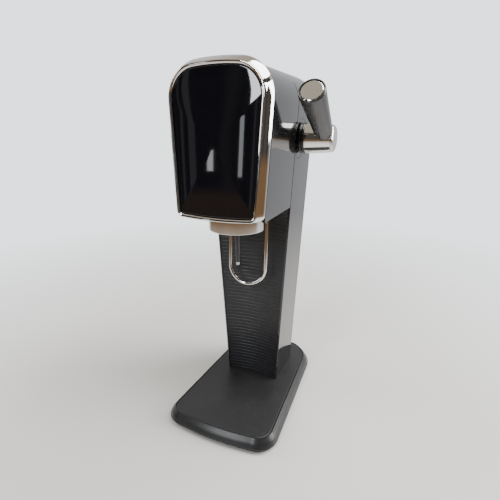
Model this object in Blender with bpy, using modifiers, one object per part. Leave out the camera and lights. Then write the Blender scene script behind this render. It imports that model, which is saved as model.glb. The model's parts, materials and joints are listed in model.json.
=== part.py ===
"""Countertop soda carbonator, modelled as the separate pieces it is assembled from.

Metres, +Z up.  The origin is the point on the table straight below the bottle axis; the head reaches
forward along -Y, the pull lever sticks out along +X, and the gas cylinder stands in the column at +Y.
"""

import math

import bmesh
import bpy
from mathutils import Matrix, Vector

# ---- Driving dimensions: overall --------------------------------------------------------------
BASE_HEIGHT = 0.0172          # table to the top of the base
BAY_HEIGHT = 0.2608           # base top to the underside of the head
HEAD_HEIGHT = 0.1630          # underside of the head to the crown of its front
TOWER_WIDTH_AT_TABLE = 0.0757  # outer width of column and head, which share one straight taper
TOWER_TAPER = 0.1114          # growth of that width per metre of height
COLUMN_SETBACK = 0.0086       # bottle collar to the front edges of the column sides
COLUMN_DEPTH = 0.0867         # those edges to the back of the rear cover
HEAD_REACH = 0.0554           # bottle axis to the front of the head, at its lower edge
HEAD_LEAN = 0.0530            # how far the head front falls back per metre of height
CROWN_RADIUS = 0.260          # gentle arch across the top
TOP_CORNER_RADIUS = 0.038
FACE_RISE = 0.0035            # the head front's crown stands this far above the housing behind it
LOWER_CORNER_RADIUS = 0.008
WALL = 0.0025                 # moulded housing walls
GAP = 0.0003                  # between touching pieces

# ---- Base -------------------------------------------------------------------------------------
BASE_WIDTH_FRONT = 0.1526
BASE_WIDTH_REAR = 0.1370
BASE_FRONT_Y = -0.0790        # at the front corners; the edge bows forward between them
BASE_FRONT_BOW = 0.0036
BASE_REAR_MARGIN = 0.0285     # back of the rear cover to the back of the base
BASE_FRONT_CORNER = 0.026
BASE_REAR_CORNER = 0.052
BASE_SKIRT_CLEARANCE = 0.0011  # table to the lower edge of the skirt
BASE_TOP_INSET = 0.0085       # how far the rounded skirt draws in at the top
FLOOR_THICKNESS = 0.0025
TOP_PLATE_THICKNESS = 0.0030
FOOT_RADIUS = 0.0090
FOOT_HEIGHT = 0.0027
FOOT_INSET = 0.0240           # base outline to the centre of a foot
FOOT_REAR_DRAW_IN = 0.0120    # rear feet stand this much further in, clear of the round corners
BOSS_RADIUS = 0.0042
BASE_SCREW_STEP = 0.0240      # rear foot to the screw in front of it
BASE_SCREW_LENGTH = 0.0070
SCREW_RADIUS = 0.0015
SCREW_HEAD_RADIUS = 0.0028
SCREW_HEAD_HEIGHT = 0.0016

# ---- Column and rear cover --------------------------------------------------------------------
FRONT_PANEL_HOLLOW = 0.0054   # depth of the column's concave front
FRONT_PANEL_SETBACK = 0.0008
COVER_EDGE_RADIUS = 0.0220
COVER_EDGE_STEPS = 5
SPINE_WIDTH = 0.0520
SPINE_THICKNESS = 0.0025
SPINE_CLEARANCE = 0.0020      # behind the deepest part of the front panel

# ---- Bezel and front panel --------------------------------------------------------------------
BEZEL_DEPTH = 0.0110
BEZEL_DRAW_IN = 0.0052        # the bezel front is this much narrower on each side than the head
RIM_WIDTH = 0.0040
RIM_SETBACK = 0.0018
FACE_SETBACK = 0.0020         # front panel behind the front of the rim
FACE_THICKNESS = 0.0028
BOTTOM_BOW = 0.0016           # lower edge of the head front bows down at the middle

# ---- Bottle collar, nozzle and guide loop -----------------------------------------------------
COLLAR_RADIUS = 0.0342
COLLAR_WALL = 0.0028
COLLAR_HEIGHT = 0.0220
COLLAR_FLANGE_HOLE = 0.0200
SEAL_THICKNESS = 0.0040
NOZZLE_RADIUS = 0.0029
NOZZLE_REACH = 0.0700         # underside of the head to the end of the nozzle tip
NOZZLE_TIP_LENGTH = 0.0040
NOZZLE_TIP_RADIUS = 0.0021
NOZZLE_BLOCK_RADIUS = 0.0110
NOZZLE_BLOCK_HEIGHT = 0.0160
LOOP_HALF_WIDTH = 0.0255
LOOP_WIRE_RADIUS = 0.0023
LOOP_SETBACK = 0.0028         # bottle collar to the loop's pivot axis
LOOP_PIVOT_RISE = 0.0100      # above the underside of the head
LOOP_REACH = 0.1170           # pivot axis to the middle of the wire at the bottom of the loop
LOOP_LEAN = math.radians(4.4)
LOOP_SLOT_LENGTH = 0.0110
LOOP_SLOT_CLEARANCE = 0.0007  # wire to the sides of its slot
LOOP_PIN_RADIUS = 0.0015
LOOP_EYE_RADIUS = 0.0034
LOOP_EYE_LENGTH = 0.0040
BRACKET_HALF_DEPTH = 0.0042
BRACKET_THICKNESS = 0.0030
BRACKET_CLEARANCE = 0.0012    # bracket to the eye beside it

# ---- Lever ------------------------------------------------------------------------------------
LEVER_SETBACK = 0.0177        # front edges of the column sides to the lever axis
LEVER_RISE = 0.0820           # lever axis above the underside of the head
SHAFT_RADIUS = 0.0050
LEVER_STROKE = math.radians(70)
ESCUTCHEON_RADIUS = 0.0230
FLANGE_RADIUS = 0.0186
FLANGE_THICKNESS = 0.0066
FLANGE_STANDOFF = 0.0014      # clears the slanted escutcheon
HUB_RADIUS_INNER = 0.0180
HUB_RADIUS_OUTER = 0.0156
HUB_LENGTH = 0.0310
HUB_CAP_THICKNESS = 0.0024
GRIP_OFFSET = 0.0223          # along the hub, from its inner end to the grip axis
GRIP_ELEVATION = math.radians(33.5)
GRIP_LENGTH = 0.0864          # lever axis to the end of the grip
GRIP_RADIUS_END = 0.0142
GRIP_RADIUS_ROOT = 0.0100     # where the grip's taper would meet the lever axis
GRIP_CAP_RADIUS = 0.0121
GRIP_CAP_THICKNESS = 0.0020
STUD_RADIUS = 0.0035
BUSH_WALL = 0.0030
BUSH_FLANGE = 0.0020
BUSH_LIP = 0.0025             # how far the bush flange stands out past its barrel

# ---- Gas cylinder and valve -------------------------------------------------------------------
CYLINDER_RADIUS = 0.0300
CYLINDER_BACK_CLEARANCE = 0.0050  # cylinder to the inner face of the rear cover
CYLINDER_WALL = 0.0026
CYLINDER_NECK_RADIUS = 0.0135
CYLINDER_NECK_BORE = 0.0088
CYLINDER_NECK_LENGTH = 0.0100
CYLINDER_SHOULDER = 0.0240
VALVE_RADIUS = 0.0120
VALVE_LENGTH = 0.0230
VALVE_BORE_DEPTH = 0.0092
VALVE_SPIGOT_LENGTH = 0.0090  # threaded end in the neck of the cylinder
PIN_RADIUS = 0.0015
SEAT_THICKNESS = 0.0030
SHELF_CLEARANCE = 0.0002      # bush flanges to the head frame's shelf below them
SHELF_THICKNESS = 0.0030
CHEEK_THICKNESS = 0.0030
CHEEK_CLEARANCE = 0.0045      # cheek to the inner face of the column side
CHEEK_RISE = 0.0400           # lever axis to the top of a cheek
BLOCK_WIDTH = 0.0320
BLOCK_DEPTH = 0.0320
BLOCK_HEIGHT = 0.0320
PLUNGER_RADIUS = 0.0030
PLUNGER_HEAD_RADIUS = 0.0054
PLUNGER_HEAD_THICKNESS = 0.0030
SPRING_SPACE = 0.0072         # top of the valve block to the plunger head
ROCKER_WIDTH = 0.0080
ROCKER_PIN_RADIUS = 0.0025
ROCKER_END_RADIUS = 0.0040
ROCKER_BOSS_RADIUS = 0.0045
ROCKER_REAR_RADIUS = 0.0032   # half the depth of the rear arm at its pivot end
ROCKER_THROW = 0.0180         # rocker pivot to the plunger axis
CAM_RADIUS = 0.0090
CAM_LIFT = 0.0017
HOSE_RADIUS = 0.0025

# ---- Derived places ---------------------------------------------------------------------------
HEAD_BOTTOM = BASE_HEIGHT + BAY_HEIGHT
HEIGHT = HEAD_BOTTOM + HEAD_HEIGHT
COLUMN_FRONT_Y = COLLAR_RADIUS + COLUMN_SETBACK  # also the seam of the head sides
COLUMN_REAR_Y = COLUMN_FRONT_Y + COLUMN_DEPTH
BASE_REAR_Y = COLUMN_REAR_Y + BASE_REAR_MARGIN
LOOP_PIVOT_Y = COLLAR_RADIUS + LOOP_SETBACK
LEVER_Y = COLUMN_FRONT_Y + LEVER_SETBACK
COVER_SEAM_Y = COLUMN_REAR_Y - COVER_EDGE_RADIUS
COLUMN_FOOT = BASE_HEIGHT + GAP
LEVER_Z = HEAD_BOTTOM + LEVER_RISE
CYLINDER_Y = COLUMN_REAR_Y - WALL - CYLINDER_BACK_CLEARANCE - CYLINDER_RADIUS
FLOOR_BOTTOM = FOOT_HEIGHT + GAP
FLOOR_TOP = FLOOR_BOTTOM + FLOOR_THICKNESS
SEAT_BOTTOM = FLOOR_TOP + GAP
CYLINDER_BOTTOM = SEAT_BOTTOM + SEAT_THICKNESS + GAP
BUSH_OUTSIDE = SHAFT_RADIUS + GAP + BUSH_WALL
SHELF_TOP = LEVER_Z - BUSH_OUTSIDE - BUSH_LIP - SHELF_CLEARANCE
SHELF_BOTTOM = SHELF_TOP - SHELF_THICKNESS
BLOCK_BOTTOM = SHELF_TOP + GAP
BLOCK_TOP = BLOCK_BOTTOM + BLOCK_HEIGHT
VALVE_BOTTOM = SHELF_BOTTOM - 0.0040
VALVE_TOP = VALVE_BOTTOM + VALVE_LENGTH
NECK_TOP = VALVE_BOTTOM - GAP
PLUNGER_HEAD_BOTTOM = BLOCK_TOP + SPRING_SPACE
PLUNGER_TOP = PLUNGER_HEAD_BOTTOM + PLUNGER_HEAD_THICKNESS
LEVER_AXIS = Vector((0.0, LEVER_Y, LEVER_Z))
PANEL_REAR_Y = COLUMN_FRONT_Y + FRONT_PANEL_SETBACK + FRONT_PANEL_HOLLOW + WALL
SPINE_FRONT_Y = PANEL_REAR_Y + SPINE_CLEARANCE
ALONG_X = (0.0, math.pi / 2, 0.0)  # turns a piece's own Z axis onto world +X
UPRIGHT = (math.pi / 2, 0.0, 0.0)  # stands a flat outline up, so that its own Y becomes world Z


# ---- Helpers ----------------------------------------------------------------------------------
def clear_scene():
    for obj in list(bpy.data.objects):
        bpy.data.objects.remove(obj, do_unlink=True)


def new_collection(name):
    collection = bpy.data.collections.new(name)
    bpy.context.scene.collection.children.link(collection)
    return collection


def new_material(name, colour, roughness, metallic=0.0):
    material = bpy.data.materials.new(name)
    material.use_nodes = True
    shader = material.node_tree.nodes["Principled BSDF"]
    shader.inputs["Base Color"].default_value = (*colour, 1.0)
    shader.inputs["Roughness"].default_value = roughness
    shader.inputs["Metallic"].default_value = metallic
    return material


def place(name, mesh, material, location=(0, 0, 0), rotation=(0, 0, 0), parent=None):
    """Makes one named piece of the appliance."""
    mesh.name = name
    mesh.materials.clear()
    mesh.materials.append(material)
    obj = bpy.data.objects.new(name, mesh)
    obj.location = location
    obj.rotation_euler = rotation
    obj.parent = parent
    PARTS.objects.link(obj)
    return obj


def axis_empty(name, location):
    """An empty on a joint's axis, which the pieces that turn about it are parented to."""
    empty = bpy.data.objects.new(name, None)
    empty.location = location
    empty.empty_display_size = 0.02
    PARTS.objects.link(empty)
    return empty


def finish_mesh(bm, name="mesh", smooth_below=None):
    bmesh.ops.recalc_face_normals(bm, faces=bm.faces)
    mesh = bpy.data.meshes.new(name)
    bm.to_mesh(mesh)
    bm.free()
    if smooth_below is not None:
        mesh.shade_smooth()
        mesh.set_sharp_from_angle(angle=math.radians(smooth_below))
    return mesh


def box_mesh(low, high):
    """A box between two corners, in the place that the corners give."""
    low, high = Vector(low), Vector(high)
    size = high - low
    bm = bmesh.new()
    matrix = Matrix.Translation((low + high) / 2) @ Matrix.Diagonal((*size, 1.0))
    bmesh.ops.create_cube(bm, size=1.0, matrix=matrix)
    return finish_mesh(bm)


def rod_mesh(radius, bottom, top, sides=24, radius_top=None):
    """A cylinder or cone about its own Z axis, from bottom to top."""
    bm = bmesh.new()
    bmesh.ops.create_cone(
        bm, cap_ends=True, segments=sides, radius1=radius,
        radius2=radius if radius_top is None else radius_top, depth=top - bottom,
        matrix=Matrix.Translation((0, 0, (bottom + top) / 2)),
    )
    return finish_mesh(bm, smooth_below=40)


def curve_to_mesh(curve, smooth_below=None):
    """The closed mesh of a curve with filled ends; its caps come loose and are welded."""
    holder = bpy.data.objects.new("curve", curve)
    bpy.context.scene.collection.objects.link(holder)
    depsgraph = bpy.context.evaluated_depsgraph_get()
    evaluated = bpy.data.meshes.new_from_object(holder.evaluated_get(depsgraph))
    bpy.data.objects.remove(holder, do_unlink=True)
    bpy.data.curves.remove(curve)
    bm = bmesh.new()
    bm.from_mesh(evaluated)
    bpy.data.meshes.remove(evaluated)
    bmesh.ops.remove_doubles(bm, verts=bm.verts, dist=1e-6)
    return finish_mesh(bm, smooth_below=smooth_below)


def plate_mesh(outlines, thickness, smooth_below=None):
    """A flat plate with the first outline as its edge and the others as its holes, about Z = 0."""
    curve = bpy.data.curves.new("outline", "CURVE")
    curve.dimensions = "2D"
    curve.fill_mode = "BOTH"
    curve.extrude = thickness / 2
    for outline in outlines:
        spline = curve.splines.new("POLY")
        spline.points.add(len(outline) - 1)
        spline.use_cyclic_u = True
        for point, (a, b) in zip(spline.points, outline):
            point.co = (a, b, 0.0, 1.0)
    return curve_to_mesh(curve, smooth_below)


def tube_mesh(points, radius, cyclic=False):
    """A round wire or hose along a list of points."""
    curve = bpy.data.curves.new("route", "CURVE")
    curve.dimensions = "3D"
    curve.bevel_depth = radius
    curve.bevel_resolution = 2
    curve.use_fill_caps = not cyclic
    spline = curve.splines.new("POLY")
    spline.points.add(len(points) - 1)
    spline.use_cyclic_u = cyclic
    for point, place_on_route in zip(spline.points, points):
        point.co = (*place_on_route, 1.0)
    return curve_to_mesh(curve, smooth_below=50)


def loft_mesh(loops, ring=False, smooth_below=35):
    """Skin through closed loops of equal length: a capped solid, or a ring that comes back to its start."""
    bm = bmesh.new()
    rows = [[bm.verts.new(point) for point in loop] for loop in loops]
    pairs = list(zip(rows, rows[1:] + rows[:1])) if ring else list(zip(rows, rows[1:]))
    for low, high in pairs:
        for i in range(len(low)):
            j = (i + 1) % len(low)
            bm.faces.new((low[i], low[j], high[j], high[i]))
    if not ring:
        bm.faces.new(rows[0])
        bm.faces.new(rows[-1])
    return finish_mesh(bm, smooth_below=smooth_below)


def add_turning(obj, steps):
    """Turns the profile in an object's XZ plane about its own Z axis."""
    screw = obj.modifiers.new("turned", "SCREW")
    screw.axis = "Z"
    screw.angle = math.tau
    screw.steps = steps
    screw.render_steps = steps
    screw.use_merge_vertices = True
    screw.merge_threshold = 1e-5
    screw.use_smooth_shade = True


def profile_mesh(profile, closed=False):
    """The edges of a turned profile: (radius, height) from the top down the outer side."""
    mesh = bpy.data.meshes.new("profile")
    edges = [(i, i + 1) for i in range(len(profile) - 1)]
    if closed:
        edges.append((len(profile) - 1, 0))
    mesh.from_pydata([(radius, 0.0, height) for radius, height in profile], edges, [])
    return mesh


def turned(name, profile, material, steps=32, closed=False, **where):
    obj = place(name, profile_mesh(profile, closed), material, **where)
    add_turning(obj, steps)
    return obj


def sleeve(bore, outside, bottom, top):
    """The closed profile of a plain ring."""
    return [(bore, top), (outside, top), (outside, bottom), (bore, bottom)]


def cutter(name, mesh, location=(0, 0, 0), rotation=(0, 0, 0)):
    obj = bpy.data.objects.new(name, mesh)
    obj.location = location
    obj.rotation_euler = rotation
    obj.hide_render = True
    obj.display_type = "WIRE"
    CUTTERS.objects.link(obj)
    return obj


def combine(obj, other, operation="DIFFERENCE"):
    boolean = obj.modifiers.new(other.name, "BOOLEAN")
    boolean.operation = operation
    boolean.solver = "EXACT"
    boolean.object = other


def circle(radius, centre=(0.0, 0.0), sides=32):
    return [
        (centre[0] + radius * math.cos(angle), centre[1] + radius * math.sin(angle))
        for angle in (math.tau * i / sides for i in range(sides))
    ]


def arc(centre, radius, start, end, steps):
    """Points of a round stretch, both ends included; angles in radians."""
    angles = [start + (end - start) * i / steps for i in range(steps + 1)]
    return [(centre[0] + radius * math.cos(a), centre[1] + radius * math.sin(a)) for a in angles]


def smooth_route(points, steps):
    """A smooth curve (Catmull-Rom) through a few route points."""
    route = [Vector(point) for point in points]
    padded = [2 * route[0] - route[1]] + route + [2 * route[-1] - route[-2]]
    result = []
    for a, b, c, d in zip(padded, padded[1:], padded[2:], padded[3:]):
        for i in range(steps):
            t = i / steps
            result.append(0.5 * (2 * b + (c - a) * t + (2 * a - 5 * b + 4 * c - d) * t**2
                                 + (3 * b - a - 3 * c + d) * t**3))
    return result + [route[-1]]


# ---- Shapes that several pieces share ---------------------------------------------------------
def tower_half_width(z):
    """Half the outer width of the tower at a height."""
    return (TOWER_WIDTH_AT_TABLE + TOWER_TAPER * z) / 2


def arch_points(inset, z_low, crown_height=None, corner_steps=8, crown_steps=6):
    """The tower's outline seen from the front, drawn in by an inset: right foot, over the top, left foot.

    The housing's crown is used unless another crown's height is given.
    """
    slope = TOWER_TAPER / 2
    stretch = math.hypot(1.0, slope)
    foot = TOWER_WIDTH_AT_TABLE / 2
    crown_centre = (crown_height or HEIGHT - FACE_RISE) - CROWN_RADIUS
    # The corner's centre keeps its radius from the side line and from the crown arc.
    shift = foot - TOP_CORNER_RADIUS * stretch
    reach = CROWN_RADIUS - TOP_CORNER_RADIUS
    a = slope**2 + 1
    b = 2 * (slope * shift - crown_centre)
    c = shift**2 + crown_centre**2 - reach**2
    centre_z = (-b + math.sqrt(b * b - 4 * a * c)) / (2 * a)
    centre_x = shift + slope * centre_z
    side_angle = math.atan2(-slope, 1.0)
    crown_angle = math.atan2(centre_z - crown_centre, centre_x)
    right = [(tower_half_width(z_low) - inset * stretch, z_low)]
    right += arc((centre_x, centre_z), TOP_CORNER_RADIUS - inset, side_angle, crown_angle, corner_steps)
    crown = arc((0.0, crown_centre), CROWN_RADIUS - inset, crown_angle, math.pi - crown_angle, crown_steps)
    left = [(-x, z) for x, z in reversed(right)]
    return right + crown[1:-1] + left


def head_front(z):
    """Y of the head's leaning front plane at a height."""
    return -HEAD_REACH + (z - HEAD_BOTTOM) * HEAD_LEAN


def face_outline(inset, lift):
    """Closed outline of the head front: the arch above, rounded lower corners and a bowed lower edge."""
    bottom = HEAD_BOTTOM + lift
    radius = max(LOWER_CORNER_RADIUS - lift, 0.003)
    stretch = math.hypot(1.0, TOWER_TAPER / 2)
    centre_z = bottom + radius
    centre_x = tower_half_width(centre_z) - (inset + radius) * stretch
    corner = arc((centre_x, centre_z), radius, -math.pi / 2, math.atan2(-TOWER_TAPER / 2, 1.0), 4)
    lower = [(centre_x * (i / 4), bottom - BOTTOM_BOW * (1 - (i / 4) ** 2)) for i in range(-3, 4)]
    upper = arch_points(inset, centre_z, HEIGHT)[1:-1]
    left_corner = [(-x, z) for x, z in reversed(corner)]
    return lower + corner + upper + left_corner


def face_loop(inset, lift, depth):
    """That outline in space, a depth behind the leaning front plane."""
    return [(x, head_front(z) + depth, z) for x, z in face_outline(inset, lift)]


def base_outline(inset, corner_steps=6, front_steps=6):
    """Closed outline of the base seen from above, anticlockwise from the left end of the front edge."""
    front = BASE_FRONT_Y + inset
    rear = BASE_REAR_Y - inset
    front_radius = BASE_FRONT_CORNER - inset
    rear_radius = BASE_REAR_CORNER - inset
    half_front = BASE_WIDTH_FRONT / 2 - inset
    half_rear = BASE_WIDTH_REAR / 2 - inset
    lean = math.atan2(half_front - half_rear, rear - front - front_radius - rear_radius)
    flat = half_front - front_radius
    bowed = [
        (flat * i / front_steps, front - BASE_FRONT_BOW * (1 - (i / front_steps) ** 2))
        for i in range(-front_steps + 1, front_steps)
    ]
    right = arc((flat, front + front_radius), front_radius, -math.pi / 2, lean, corner_steps)
    right += arc((half_rear - rear_radius, rear - rear_radius), rear_radius, lean, math.pi / 2,
                 corner_steps + 2)
    left = [(-x, y) for x, y in reversed(right)]
    return bowed + right + left


def base_loop(inset, z):
    return [(x, y, z) for x, y in base_outline(inset)]


def foot_places():
    """Centres of the four corner feet."""
    front = BASE_FRONT_Y + FOOT_INSET
    rear = BASE_REAR_Y - FOOT_INSET
    return [
        (side * (width / 2 - FOOT_INSET - draw_in), y)
        for width, y, draw_in in ((BASE_WIDTH_FRONT, front, 0.0), (BASE_WIDTH_REAR, rear, FOOT_REAR_DRAW_IN))
        for side in (-1, 1)
    ]


def base_screw_places():
    """Screws stand beside the feet: further in at the front, further out beside the gas cylinder."""
    front_left, front_right, rear_left, rear_right = foot_places()
    front = [(x * 0.6, y) for x, y in (front_left, front_right)]
    rear = [(x * 1.25, y - BASE_SCREW_STEP) for x, y in (rear_left, rear_right)]
    return front + rear


# ---- Base -------------------------------------------------------------------------------------
def build_base():
    top_inset = BASE_TOP_INSET
    ledge = BASE_HEIGHT - TOP_PLATE_THICKNESS - GAP
    wall = WALL
    section = [
        (0.0032, BASE_SKIRT_CLEARANCE), (0.0026, 0.0046), (0.0004, 0.0050), (0.0, 0.0060), (0.0005, 0.0078),
        (top_inset - 0.0018, BASE_HEIGHT - 0.0006), (top_inset - 0.0012, BASE_HEIGHT), (top_inset, BASE_HEIGHT),
        (top_inset, ledge), (top_inset + 0.0045, ledge), (top_inset + 0.0045, ledge - wall),
        (0.0038 + wall, ledge - wall), (0.0012 + wall, 0.0062), (0.0032 + wall, BASE_SKIRT_CLEARANCE),
    ]
    place("base_shell", loft_mesh([base_loop(inset, z) for inset, z in section], ring=True), SATIN_BLACK)

    plate_centre = BASE_HEIGHT - TOP_PLATE_THICKNESS / 2
    spine_slot = [
        (-SPINE_WIDTH / 2 - GAP, SPINE_FRONT_Y - GAP),
        (SPINE_WIDTH / 2 + GAP, SPINE_FRONT_Y - GAP),
        (SPINE_WIDTH / 2 + GAP, SPINE_FRONT_Y + SPINE_THICKNESS + GAP),
        (-SPINE_WIDTH / 2 - GAP, SPINE_FRONT_Y + SPINE_THICKNESS + GAP),
    ]
    holes = [spine_slot, circle(CYLINDER_RADIUS + 0.0012, (0.0, CYLINDER_Y))]
    plate = place("base_top_plate", plate_mesh([base_outline(top_inset + GAP), *holes], TOP_PLATE_THICKNESS),
                  MATT_BLACK, location=(0, 0, plate_centre))
    boss_top = BASE_HEIGHT - TOP_PLATE_THICKNESS / 2
    for index, (x, y) in enumerate(base_screw_places()):
        boss = cutter(f"boss_{index}", rod_mesh(BOSS_RADIUS, FLOOR_TOP + GAP, boss_top, 16),
                      location=(x, y, 0))
        combine(plate, boss, "UNION")
    for index, (x, y) in enumerate(base_screw_places()):
        bore = cutter(f"boss_bore_{index}", rod_mesh(SCREW_RADIUS + GAP, 0.0, FLOOR_TOP + 0.0068, 12),
                      location=(x, y, 0))
        combine(plate, bore)

    screw_holes = [circle(SCREW_RADIUS + GAP, centre, 12) for centre in base_screw_places()]
    place("base_floor", plate_mesh([base_outline(0.0032 + wall + 0.0006), *screw_holes], FLOOR_THICKNESS),
          FLOOR_GREY, location=(0, 0, (FLOOR_BOTTOM + FLOOR_TOP) / 2))
    foot = [(0, FOOT_HEIGHT), (FOOT_RADIUS - 0.0004, FOOT_HEIGHT), (FOOT_RADIUS, 0.0006),
            (FOOT_RADIUS - 0.0006, 0.0), (0, 0.0)]
    for name, (x, y) in zip(("front_left", "front_right", "rear_left", "rear_right"), foot_places()):
        turned(f"foot_{name}", foot, RUBBER, 24, location=(x, y, 0))
    turned("foot_centre", foot, RUBBER, 24)
    for index, (x, y) in enumerate(base_screw_places(), 1):
        add_screw(f"base_screw_{index}", (x, y, FLOOR_BOTTOM - GAP), (math.pi, 0, 0), BASE_SCREW_LENGTH)


def add_screw(name, seat, rotation, length):
    """A pan-head screw: its head stands on the seat point, its shank runs along its own -Z."""
    profile = [
        (0, SCREW_HEAD_HEIGHT), (SCREW_HEAD_RADIUS * 0.75, SCREW_HEAD_HEIGHT), (SCREW_HEAD_RADIUS, 0.0005),
        (SCREW_HEAD_RADIUS, 0.0), (SCREW_RADIUS, 0.0), (SCREW_RADIUS, -length), (0, -length - 0.0008),
    ]
    turned(name, profile, STEEL, 12, location=seat, rotation=rotation)


# ---- Column -----------------------------------------------------------------------------------
def column_panel_section(z):
    """Plan of the hollow front panel at a height: front arc one way, back arc the other."""
    half = tower_half_width(z) - WALL - GAP
    steps = 12
    xs = [half * (2 * i / steps - 1) for i in range(steps + 1)]
    front_y = COLUMN_FRONT_Y + FRONT_PANEL_SETBACK
    front = [(x, front_y + FRONT_PANEL_HOLLOW * (1 - (x / half) ** 2), z) for x in xs]
    back = [(x, y + WALL, z) for x, y, z in reversed(front)]
    return front + back


def build_column():
    panel = [column_panel_section(z) for z in (COLUMN_FOOT, HEAD_BOTTOM - GAP)]
    place("column_front_panel", loft_mesh(panel), RIBBED_BLACK)

    sides = arch_points(0.0, COLUMN_FOOT) + list(reversed(arch_points(WALL, COLUMN_FOOT)))
    depth = COVER_SEAM_Y - COLUMN_FRONT_Y - GAP * 2
    shell = place("column_shell", plate_mesh([sides], depth, 30), GLOSS_BLACK,
                  location=(0, COLUMN_FRONT_Y + depth / 2, 0), rotation=UPRIGHT)
    combine(shell, cutter("escutcheon_recess_column", rod_mesh(ESCUTCHEON_RADIUS + GAP, 0.040, 0.080, 40),
                          location=LEVER_AXIS, rotation=ALONG_X))

    cover = place("rear_cover", cover_block(0.0, COVER_SEAM_Y - GAP, COLUMN_FOOT), GLOSS_BLACK)
    combine(cover, cutter("rear_cover_inside", cover_block(WALL, COVER_SEAM_Y - 0.010, COLUMN_FOOT - 0.010)))

    spine_top = SHELF_BOTTOM - GAP
    place("spine_plate", box_mesh((-SPINE_WIDTH / 2, SPINE_FRONT_Y, SEAT_BOTTOM),
                                  (SPINE_WIDTH / 2, SPINE_FRONT_Y + SPINE_THICKNESS, spine_top)), GALVANISED)


def cover_block(inset, front_y, z_low):
    """The tower outline as a block whose rear rim is rounded, drawn in by an inset on every side."""
    radius = COVER_EDGE_RADIUS - inset
    rear = COLUMN_REAR_Y - inset
    stations = [(inset, front_y)]
    for step in range(COVER_EDGE_STEPS + 1):
        angle = math.pi / 2 * step / COVER_EDGE_STEPS
        stations.append((inset + radius * (1 - math.cos(angle)), rear - radius * (1 - math.sin(angle))))
    return loft_mesh([[(x, y, z) for x, z in arch_points(draw_in, z_low)] for draw_in, y in stations],
                     smooth_below=30)


# ---- Head -------------------------------------------------------------------------------------
def build_head():
    outline = arch_points(0.0, HEAD_BOTTOM) + list(reversed(arch_points(WALL, HEAD_BOTTOM)))
    seam = COLUMN_FRONT_Y - GAP
    front_loop = [(x, head_front(z) + BEZEL_DEPTH + GAP, z) for x, z in outline]
    rear_loop = [(x, seam, z) for x, z in outline]
    shell = place("head_shell", loft_mesh([front_loop, rear_loop], smooth_below=30), GLOSS_BLACK)
    combine(shell, cutter("escutcheon_recess_head", rod_mesh(ESCUTCHEON_RADIUS + GAP, 0.040, 0.080, 40),
                          location=LEVER_AXIS, rotation=ALONG_X))

    rim_inner = BEZEL_DRAW_IN + RIM_WIDTH
    section = [
        (BEZEL_DRAW_IN + 0.0010, 0.0008, 0.0), (BEZEL_DRAW_IN, 0.0, 0.0010), (0.0, 0.0, BEZEL_DEPTH),
        (WALL + FACE_RISE, WALL, BEZEL_DEPTH), (rim_inner, RIM_WIDTH, FACE_SETBACK + FACE_THICKNESS + 0.0006),
        (rim_inner, RIM_WIDTH, RIM_SETBACK),
    ]
    place("front_bezel", loft_mesh([face_loop(*station) for station in section], ring=True), CHROME)

    fit = rim_inner + GAP
    face = [face_loop(fit, RIM_WIDTH + GAP, FACE_SETBACK),
            face_loop(fit, RIM_WIDTH + GAP, FACE_SETBACK + FACE_THICKNESS)]
    place("front_panel", loft_mesh(face), PIANO_BLACK)

    z_low = HEAD_BOTTOM + GAP * 2
    half = tower_half_width(HEAD_BOTTOM) - WALL - GAP
    front = head_front(HEAD_BOTTOM) + BEZEL_DEPTH + GAP * 2
    edge = [(-half, front), (half, front), (half, seam), (-half, seam)]
    slot_y = LOOP_PIVOT_Y - (LOOP_PIVOT_RISE - WALL) * math.tan(LOOP_LEAN)
    slots = [loop_slot(side * LOOP_HALF_WIDTH, slot_y) for side in (-1, 1)]
    screws = [circle(SCREW_RADIUS + GAP, centre, 12) for centre in collar_screw_places()]
    nozzle_hole = circle(NOZZLE_RADIUS + GAP, sides=24)
    place("head_underplate", plate_mesh([edge, nozzle_hole, *slots, *screws], WALL), SATIN_BLACK,
          location=(0, 0, z_low + WALL / 2))


def loop_slot(x, y):
    """Slot for one leg of the guide loop, long enough for its swing."""
    radius = LOOP_WIRE_RADIUS + LOOP_SLOT_CLEARANCE
    reach = LOOP_SLOT_LENGTH / 2 - radius
    return (arc((x, y - reach), radius, math.pi, math.tau, 6) + arc((x, y + reach), radius, 0.0, math.pi, 6))


def collar_screw_places():
    """Three screws through the collar's flange, the first one in front."""
    middle = (COLLAR_RADIUS - COLLAR_WALL + COLLAR_FLANGE_HOLE) / 2
    return [(middle * math.cos(a), middle * math.sin(a)) for a in (math.radians(d) for d in (-90, 30, 150))]


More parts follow.
